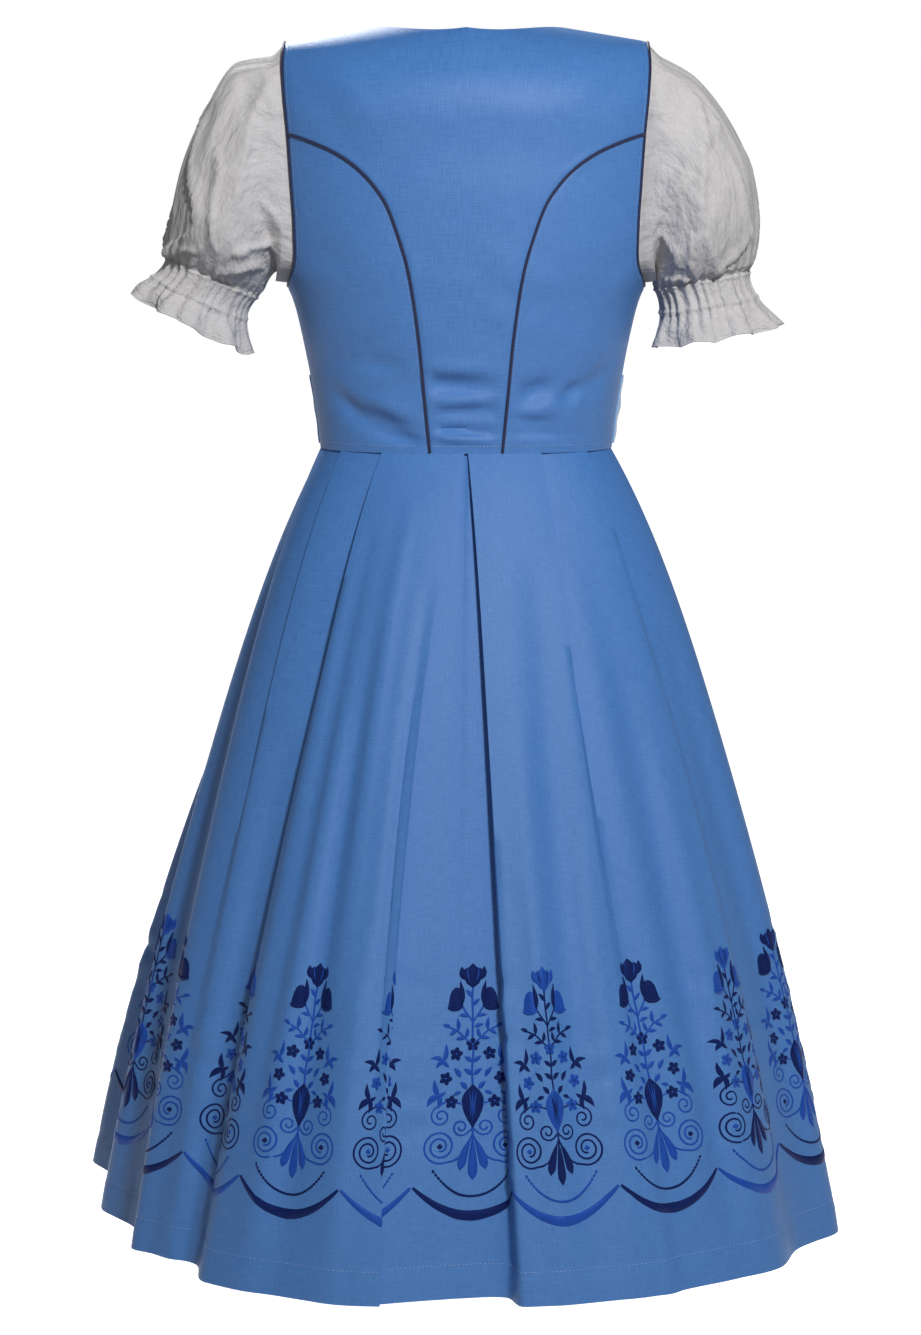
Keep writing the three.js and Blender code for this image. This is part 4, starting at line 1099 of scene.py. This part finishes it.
for node, front in (("blouse_back", False), ("blouse_front", True)):
    blouse = cloth_from_grid(node + "_part", BLOUSE_COLUMNS, len(BLOUSE_HEIGHTS) - 1, blouse_place(front),
                             white_cotton, wall=0.8)
    stand_for(blouse, node)

# %% [markdown]
# A band of satin lies across the front of the waist, caught in the side seams. It stands off a little
# beside them, which is all that the back view shows of it. Its cloth lies in shallow tucks.

# %% The satin band
BAND_COLUMNS = 150
BAND_ROWS = 20


def band_place(column, row):
    share = column / BAND_COLUMNS
    rise = row / BAND_ROWS
    angle = mix(math.pi / 2 + 0.01, 1.5 * math.pi - 0.01, share)
    height = mix(-355, -294, rise)
    from_side = np.minimum(share, 1 - share)
    reach = np.where(share > 0.5, 3.2, 0.6)
    free = np.minimum(1, from_side / 0.03)
    open_side = np.maximum(0, 1 - from_side / 0.2)
    stand = 1.3 + free * (1.0 + reach * open_side * (0.45 + 0.55 * np.sin(math.pi * rise)))
    drift = 1.2 * np.sin(angle * 2) + 0.5 * np.sin(angle * 5)
    tucks = 0.7 * free * np.sin(rise * 15 + drift) * np.sin(math.pi * rise) ** 0.5
    points = bodice_face(angle, height) + bodice_normal(angle, height) * (stand + tucks)[:, None]
    return points, np.stack([angle * MAP_RADIUS, height], -1)


band = cloth_from_grid("satin_waist_band", BAND_COLUMNS, BAND_ROWS, band_place, blue_satin, wall=1.0)
stand_for(band, "waist_band")

# %% [markdown]
# The bodice panels are cut to their shapes and stretched over the worn form, the skirt panels widen
# from the pleated waist to the hem, and the sleeves are gathered at the armhole and at the casing.

# %% [markdown]
# Five small domed buttons close the front. One profile, a rim and a dome, is turned round the button's
# own axis, and each button lies on the cloth at its height.

# %% The buttons
# radius, rise of the profile from the rim's foot over the rim to the middle
BUTTON_PROFILE = np.array([
    (0.3, 0.0), (5.6, 0.0), (6.0, 0.4), (6.0, 1.1), (5.6, 1.5), (4.9, 1.5), (4.5, 1.2), (4.1, 1.4),
    (3.2, 2.2), (2.0, 2.65), (0.8, 2.8), (0.05, 2.82),
])
BUTTON_SIDES = 32
for number, height in enumerate((-280, -254, -228, -202, -176), start=1):
    level = np.array([float(height)])
    normal = bodice_normal(np.array([math.pi]), level)[0]
    foot = bodice_face(np.array([math.pi]), level)[0] + normal * 0.5
    side = np.array([1.0, 0, 0])
    up = np.cross(normal, side)

    def place(column, row, normal=normal, foot=foot, up=up):
        turn = column / BUTTON_SIDES * 2 * math.pi
        radius, rise = BUTTON_PROFILE[row].T
        points = foot + np.outer(radius * np.cos(turn), side) + np.outer(radius * np.sin(turn), up)
        points = points + np.outer(rise, normal)
        return points, np.stack([radius, turn * 3], -1)

    button = cloth_from_grid(f"domed_button_{number}", BUTTON_SIDES, len(BUTTON_PROFILE) - 1, place,
                             button_gloss, wall=0, closed=True, middle=tuple((foot + normal) / 1000),
                             smooth=40)
    close_ends(button)
    stand_for(button, f"button_{number}")

# %% [markdown]
# Sewing holds the look of a garment together: a row of stitches just above the waist seam, one along
# the hem, and fine ones beside the piping. One stitch is modelled, a low grain of thread, and copied
# along each row into one joined mesh.

# %% Rows of stitches
bpy.ops.object.select_all(action="DESELECT")
bpy.ops.mesh.primitive_uv_sphere_add(segments=6, ring_count=4, radius=1)
stitch_model = bpy.context.object
stitch_points = np.array([v.co for v in stitch_model.data.vertices])
stitch_faces = [list(face.vertices) for face in stitch_model.data.polygons]
bpy.data.objects.remove(stitch_model)


def stitch_row(line, normals, stitch, gap, thick):
    lengths = lengths_along(line)
    at = np.arange(stitch, lengths[-1] - stitch, stitch + gap)
    middles = points_at(at, lengths, line)
    along = unit(points_at(at + 1, lengths, line) - middles)
    up = unit(points_at(at, lengths, normals))
    aside = unit(np.cross(along, up))
    scale = np.array([stitch / 2, thick, thick * 0.8])
    shaped = stitch_points[:, [2, 0, 1]] * scale
    return (middles[:, None] + shaped[None, :, 0:1] * along[:, None] + shaped[None, :, 1:2] * aside[:, None]
            + shaped[None, :, 2:3] * up[:, None])


def thread_piece(name, points, faces, threads, material):
    mesh = bpy.data.meshes.new(name)
    mesh.from_pydata((points / 1000).tolist(), [], faces)
    mesh.shade_smooth()
    mesh.materials.append(material)
    layer = mesh.uv_layers.new(name="weave")
    corners = np.zeros(len(mesh.loops), int)
    mesh.loops.foreach_get("vertex_index", corners)
    layer.data.foreach_set("uv", (threads[corners] / 1000).ravel())
    piece = bpy.data.objects.new(name, mesh)
    bpy.context.scene.collection.objects.link(piece)
    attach(piece, "root")
    return piece


def sew(name, rows, material):
    grains = np.concatenate(rows)
    count, size = grains.shape[0], grains.shape[1]
    faces = [[corner + grain * size for corner in face] for grain in range(count) for face in stitch_faces]
    spots = grains.reshape(-1, 3)
    thread_piece(name, spots, faces, spots[:, [0, 2]], material)
    print(name, "stitches", count, "faces", len(faces))


# %% [markdown]
# The waist row runs 6.5 mm above the seam all round. The satin band covers it in front. The rows
# beside the piping lie on the side panels, close to the cord.

# %% Stitches of the bodice
def row_on_bodice(angles, heights, out=0.25):
    points, _ = lay_on_bodice(angles, heights, out=out)
    return points, bodice_normal(angles, heights)


# length of a stitch, gap to the next and half thickness, beside the piping
FINE_STITCH = (1.7, 1.0, 0.2)
waist_angles_round = np.linspace(-math.pi, math.pi, 900)
bodice_rows = [stitch_row(*row_on_bodice(waist_angles_round, np.full(900, WAIST_Z + 6.5)), 2.4, 0.8, 0.26)]
for hand in (1, -1):
    heights = even((-357, -110, 200), (-110, -84, 80))
    angles = hand * angle_at(back_princess(heights) + 3.1, heights)
    bodice_rows.append(stitch_row(*row_on_bodice(angles, heights), *FINE_STITCH))
    points, normals, away = armhole_loop(hand, ARMHOLE_STEPS)
    edge = points - away * 3.0 + normals * 0.2
    closed_edge = [np.concatenate([part, part[:1]]) for part in (edge, normals)]
    bodice_rows.append(stitch_row(*closed_edge, *FINE_STITCH))
sew("bodice_stitching", bodice_rows, sewing_thread)

# %% [markdown]
# The embroidery is charted on flat cloth and then laid on the skirt. Any place is given by its
# distance along the cloth and its height above the hem, and it is found on the finished surface
# between the four nearest points, so the thread lies in the folds as the cloth does.

# %% Places on the skirt
def on_skirt(cloth, above_hem, out):
    wrapped = (np.asarray(cloth) + HEM_CLOTH / 2) % HEM_CLOTH - HEM_CLOTH / 2
    column = np.interp(wrapped, column_cloth, np.arange(len(column_cloth)))
    row = np.interp(1 - np.asarray(above_hem) / (WAIST_Z - HEM_Z), row_drop, np.arange(SKIRT_ROWS + 1))
    left = np.minimum(column.astype(int), len(column_cloth) - 2)
    above = np.minimum(row.astype(int), SKIRT_ROWS - 1)
    u, v = (column - left)[:, None], (row - above)[:, None]

    def between(grid):
        upper = mix(grid[above, left], grid[above, left + 1], u)
        lower = mix(grid[above + 1, left], grid[above + 1, left + 1], u)
        return mix(upper, lower, v)

    normal = unit(between(skirt_normals))
    return between(skirt) + normal * np.asarray(out)[:, None], normal


hem_line = np.linspace(-HEM_CLOTH / 2, HEM_CLOTH / 2 - 0.1, 1600)
hem_points, hem_normals = on_skirt(hem_line, np.full_like(hem_line, HEM_TURN), np.full_like(hem_line, 0.2))
sew("skirt_hem_stitching", [stitch_row(hem_points, hem_normals, 2.6, 1.2, 0.26)], sewing_thread)

# %% [markdown]
# Every shape of the chart is one stroke of satin stitch: a line with a width, which is domed a little
# across. A leaf is a short stroke that swells and tapers, a stem a long thin one.

# %% Strokes of satin stitch
chart = []


def smooth_line(points, count):
    points = np.array(points, float)
    if len(points) == 2:
        return mix(points[:1], points[1:], np.linspace(0, 1, count)[:, None])
    keys = lengths_along(points)
    tangents = np.gradient(points, keys, axis=0)
    at = np.linspace(0, keys[-1], count)
    row = np.clip(np.searchsorted(keys, at, side="right") - 1, 0, len(points) - 2)
    span = (keys[row + 1] - keys[row])[:, None]
    t = (at - keys[row])[:, None] / span
    return curve(points[row], points[row + 1], tangents[row] * span, tangents[row + 1] * span, t)


def stroke(colour, points, half_widths, rise=0.45, lift=0.0, fine=False):
    line = np.asarray(points, float)
    along = unit(np.gradient(line, axis=0))
    aside = np.stack([-along[:, 1], along[:, 0]], -1)
    profile = [(-1, 0), (0, 1), (1, 0)] if fine else [(-1, 0), (-0.6, 0.78), (0, 1), (0.6, 0.78), (1, 0)]
    widths = np.broadcast_to(half_widths, len(line))
    lengths = lengths_along(line)
    levels = [dome * rise + lift - (0.08 if dome == 0 else 0) for _, dome in profile]
    chart.append({
        "colour": colour,
        "flat": np.stack([line + aside * (widths * place)[:, None] for place, _ in profile], 1),
        "height": np.stack([np.full(len(line), level) for level in levels], 1),
        "thread": np.stack([np.stack([lengths, widths * place], -1) for place, _ in profile], 1),
    })


def both_sides(colour, points, half_widths, **settings):
    points = np.asarray(points, float)
    stroke(colour, points, half_widths, **settings)
    stroke(colour, points * (-1, 1), half_widths, **settings)


def leaf(colour, start, end, half_width, bend=0.0, count=7, mirrored=True, fullest=0.45, **settings):
    start, end = np.array(start, float), np.array(end, float)
    middle = (start + end) / 2 + np.array([-(end - start)[1], (end - start)[0]]) * bend
    line = smooth_line([start, middle, end], count)
    share = np.linspace(0, 1, count)
    swell = np.where(share < fullest, share / fullest, (1 - share) / (1 - fullest))
    widths = half_width * np.clip(np.sin(swell * math.pi / 2), 0.06, 1) ** 0.9
    if mirrored:
        both_sides(colour, line, widths, **settings)
    else:
        stroke(colour, line, widths, **settings)


def spiral(colour, tail, centre, radius, start, turns, half_width, count, inner=0.22):
    share = np.linspace(0, 1, count)
    angle = math.radians(start) + turns * 2 * math.pi * share
    reach = radius * (1 - (1 - inner) * share)
    curl = np.stack([centre[0] + reach * np.cos(angle), centre[1] + reach * np.sin(angle)], -1)
    lead = smooth_line([*tail, curl[0]], 8)[:-1] if tail else np.zeros((0, 2))
    line = np.concatenate([lead, curl])
    number = np.arange(len(line))
    widths = half_width * np.clip(np.minimum(number, number[::-1]) / 3 + 0.5, 0, 1)
    both_sides(colour, line, widths, fine=True, rise=0.4)


# %% [markdown]
# Each scallop holds one bouquet: drops and curls below, a striped bud, a stem with leaves and small
# five-petalled flowers, two bells and a tulip on top. These are ordinary folk motifs, charted in
# millimetres from the middle of the scallop and from the hem.

# %% One bouquet
PETAL = 6.2
HALF_SCALLOP = SCALLOP / 2


def flower(colour, heart, place, turn=0.0):
    mirrored = place[0] != 0
    place = np.array(place)
    for petal in range(5):
        angle = math.radians(90 + turn + 72 * petal)
        way = np.array([math.cos(angle), math.sin(angle)])
        leaf(colour, place + way * 0.5, place + way * PETAL, PETAL * 0.37, count=6, mirrored=mirrored,
             fullest=0.6, rise=0.5)
    leaf(heart, place - (1, 0), place + (1, 0), 1.0, count=4, mirrored=mirrored, lift=0.4, fine=True)


def scallop(arc):
    across = np.linspace(-51.5, 51.5, 45)
    middle = 68.7 + 28.5 * np.abs(across / HALF_SCALLOP) ** 1.9
    half_widths = 0.9 + 3.9 * np.clip(1 - np.abs(across / HALF_SCALLOP), 0, 1) ** 0.7
    stroke(arc, np.stack([across, middle], -1), half_widths, rise=0.7)
    for bead in np.linspace(-34, 34, 31):
        middle = np.array([bead, 86.0 + 24.5 * abs(bead / 34.8) ** 2.1])
        slope = 2.1 * 24.5 / 34.8 * abs(bead / 34.8) ** 1.1 * math.copysign(1, bead)
        way = unit(np.array([1.0, slope + 0.5]))
        leaf(arc, middle - way * 1.9, middle + way * 1.9, 1.3, count=4, mirrored=False)


# start, end and half width of the leaves that lie on both sides of the stem
STEM_LEAVES = [
    ((5.2, 180.5), (10.6, 187.5), 2.3), ((9.8, 178.5), (17, 176), 1.8), ((0.8, 193), (7.8, 199), 2.2),
    ((10.4, 191.5), (16.4, 200), 2.2), ((0.9, 204.5), (7.2, 210), 2.1),
    ((3.0, 245), (12.2, 246.5), 1.8), ((13.2, 232.6), (13.8, 244), 1.9),
    ((6.6, 226), (4.4, 235.4), 1.8), ((14.2, 232.8), (21.2, 229), 1.8),
    ((6.6, 225.6), (15, 225.6), 1.8), ((20, 235.8), (28, 238.4), 1.9),
]
# leaves of the two clusters beside the flowers, which end in points
CLUSTER_LEAVES = [
    ((26.4, 205.8), (24.2, 221.5), 2.3, 0.08), ((26.6, 207), (38.8, 209.4), 2.1, 0.1),
    ((26.6, 207), (21.2, 201.2), 2.0, 0.1), ((26, 207), (33, 200.5), 2.3, 0.1),
    ((30.4, 175.4), (34.4, 190.6), 2.5, -0.08), ((30, 176.6), (40.6, 167), 3.1, 0.12),
    ((30, 177), (30.8, 164.6), 2.4, -0.1), ((31, 176), (24, 179.4), 1.8, 0.1),
]


# points of the twigs on both sides, how many points the line has, half width and rise
TWIGS = [
    ([(0.2, 221), (5, 224.6), (13.2, 232.5), (21, 236)], 12, 0.85, 0.4),
    ([(0, 240), (2.5, 244), (6, 249), (9.8, 255)], 9, 0.85, 0.4),
    ([(8.6, 168), (11, 168.8), (14, 169.4)], 4, 0.75, 0.35),
]


def bouquet(bloom, stem):
    chart.clear()
    scallop(bloom)
    drops(stem)
    curls(stem, bloom)
    leaf(bloom, (0, 184.8), (0, 146.8), 9.3, count=18, mirrored=False, fullest=0.36, rise=1.0)
    leaf(stem, (0, 181), (0, 153), 0.75, count=10, mirrored=False, lift=0.95, fine=True)
    leaf(stem, (3.2, 180), (2.2, 155), 0.75, bend=-0.05, count=10, lift=0.85, fine=True)
    upright = np.array([(0, 184), (0.6, 198), (-0.4, 213), (0.3, 230), (0, 244), (0.5, 258), (0, 273)])
    stroke(stem, smooth_line(upright, 26), 0.95, fine=True, rise=0.45)
    for start, end, half_width in STEM_LEAVES:
        leaf(stem, start, end, half_width, bend=0.07, count=8)
    for start, end, half_width, bend in CLUSTER_LEAVES:
        leaf(stem, start, end, half_width, bend=bend, count=8, fullest=0.36)
    leaf(stem, (0.6, 261.5), (6.4, 268.8), 2.0, bend=0.08, mirrored=False)
    leaf(stem, (-0.4, 254.5), (-6.4, 260.8), 1.9, bend=-0.08, mirrored=False)
    leaf(stem, (-1.2, 235.4), (-9.4, 238.2), 1.8, bend=-0.08, mirrored=False)
    for twig, count, half_width, rise in TWIGS:
        both_sides(stem, smooth_line(twig, count), half_width, fine=True, rise=rise)
    for place, turn in (((18.7, 170), 6), ((24.2, 191), 24), ((14.6, 212.4), 10), ((0, 220.4), 0)):
        flower(bloom, stem, place, turn=turn)
    bell(bloom)
    tulip(bloom, stem)


def drops(stem):
    leaf(stem, (0, 139), (0, 100.4), 4.1, count=14, mirrored=False, fullest=0.8, rise=0.7)
    leaf(stem, (1.3, 138.6), (10.6, 109.6), 3.7, bend=0.03, count=12, fullest=0.8, rise=0.7)


def curls(stem, bloom):
    tail = [(-1.2, 146), (1.2, 138), (6, 128), (14, 119)]
    spiral(stem, tail, (28.6, 131), 15.2, -112, 2.1, 0.95, 52, inner=0.26)
    leaf(bloom, (26.0, 131), (31.2, 131), 2.5, count=6, rise=0.6)
    spiral(stem, [(-1.6, 151), (1.0, 145.4)], (9.9, 147.6), 8.0, -150, 1.45, 0.85, 28, inner=0.2)
    spiral(stem, [(18.5, 171), (24, 170.2)], (28, 157.8), 9.6, 84, -1.6, 0.85, 30, inner=0.16)


def bell(bloom):
    cup = smooth_line([(14.6, 271), (15.3, 265), (15.9, 259), (16.3, 254)], 12)
    cup_widths = np.interp(np.linspace(0, 1, 12), [0, 0.14, 0.4, 0.8, 1], [1.6, 4.3, 6.0, 6.5, 6.9])
    both_sides(bloom, cup, cup_widths, rise=0.9)
    lip = smooth_line([(8.9, 255.4), (12.4, 252.9), (17, 252.2), (23.8, 253.8)], 10)
    lip_widths = np.interp(np.linspace(0, 1, 10), [0, 0.3, 0.8, 1], [1.0, 1.7, 1.8, 0.6])
    both_sides(bloom, lip, lip_widths, rise=0.6, lift=0.5)
    leaf("navy", (9.6, 254.5), (11.4, 277), 2.4, bend=0.04, count=10, fullest=0.4, rise=0.7, lift=0.5)


def tulip(bloom, stem):
    cup = smooth_line([(0, 271), (0, 277), (0, 283), (0, 288)], 11)
    cup_widths = np.interp(np.linspace(0, 1, 11), [0, 0.2, 0.55, 0.8, 1], [1.2, 5.6, 8.5, 8.6, 7.2])
    stroke(bloom, cup, cup_widths, rise=0.9)
    leaf(bloom, (5.4, 277), (10.4, 289.4), 3.1, bend=-0.1, count=9, fullest=0.5, rise=0.9)
    leaf(bloom, (0, 275), (0, 292), 5.2, count=11, mirrored=False, fullest=0.6, rise=1.1)
    leaf(stem, (2.8, 276), (5.2, 289.6), 0.6, bend=-0.06, count=8, lift=0.9, fine=True)


# %% [markdown]
# Two colourways take turns round the hem: navy flowers over a navy scallop with royal blue leaves,
# and royal blue flowers over a royal blue scallop with navy leaves. The chart is a little tall, so
# its heights are pressed together from the foot of the scallop up. All strokes of one thread are
# joined to one mesh.

# %% The embroidered border
MOTIFS = 22
SCALLOP_FOOT = 64
CHART_HEIGHT = 0.93
thread_parts = {"navy": [], "royal": []}
for bloom, stem, first in (("navy", "royal", 0), ("royal", "navy", 1)):
    bouquet(bloom, stem)
    for number in range(first, MOTIFS, 2):
        for part in chart:
            flat = part["flat"].reshape(-1, 2)
            above_hem = SCALLOP_FOOT + (flat[:, 1] - SCALLOP_FOOT) * CHART_HEIGHT
            points, _ = on_skirt(flat[:, 0] + SCALLOP * number, above_hem, part["height"].ravel() + 0.12)
            threads = part["thread"].reshape(-1, 2)
            thread_parts[part["colour"]].append((points, threads, part["flat"].shape[:2]))


def embroider(name, parts, material):
    points, threads, faces, start = [], [], [], 0
    for part_points, part_threads, (long, wide) in parts:
        points.append(part_points)
        threads.append(part_threads)
        corner = start + (np.arange(long - 1)[:, None] * wide + np.arange(wide - 1)[None]).ravel()
        faces.append(np.stack([corner, corner + wide, corner + wide + 1, corner + 1], -1))
        start += long * wide
    faces = np.concatenate(faces).tolist()
    thread_piece(name, np.concatenate(points), faces, np.concatenate(threads), material)
    print(name, "faces", len(faces), "strokes", len(parts))


embroider("border_embroidery_navy", thread_parts["navy"], navy_thread)
embroider("border_embroidery_royal", thread_parts["royal"], royal_thread)
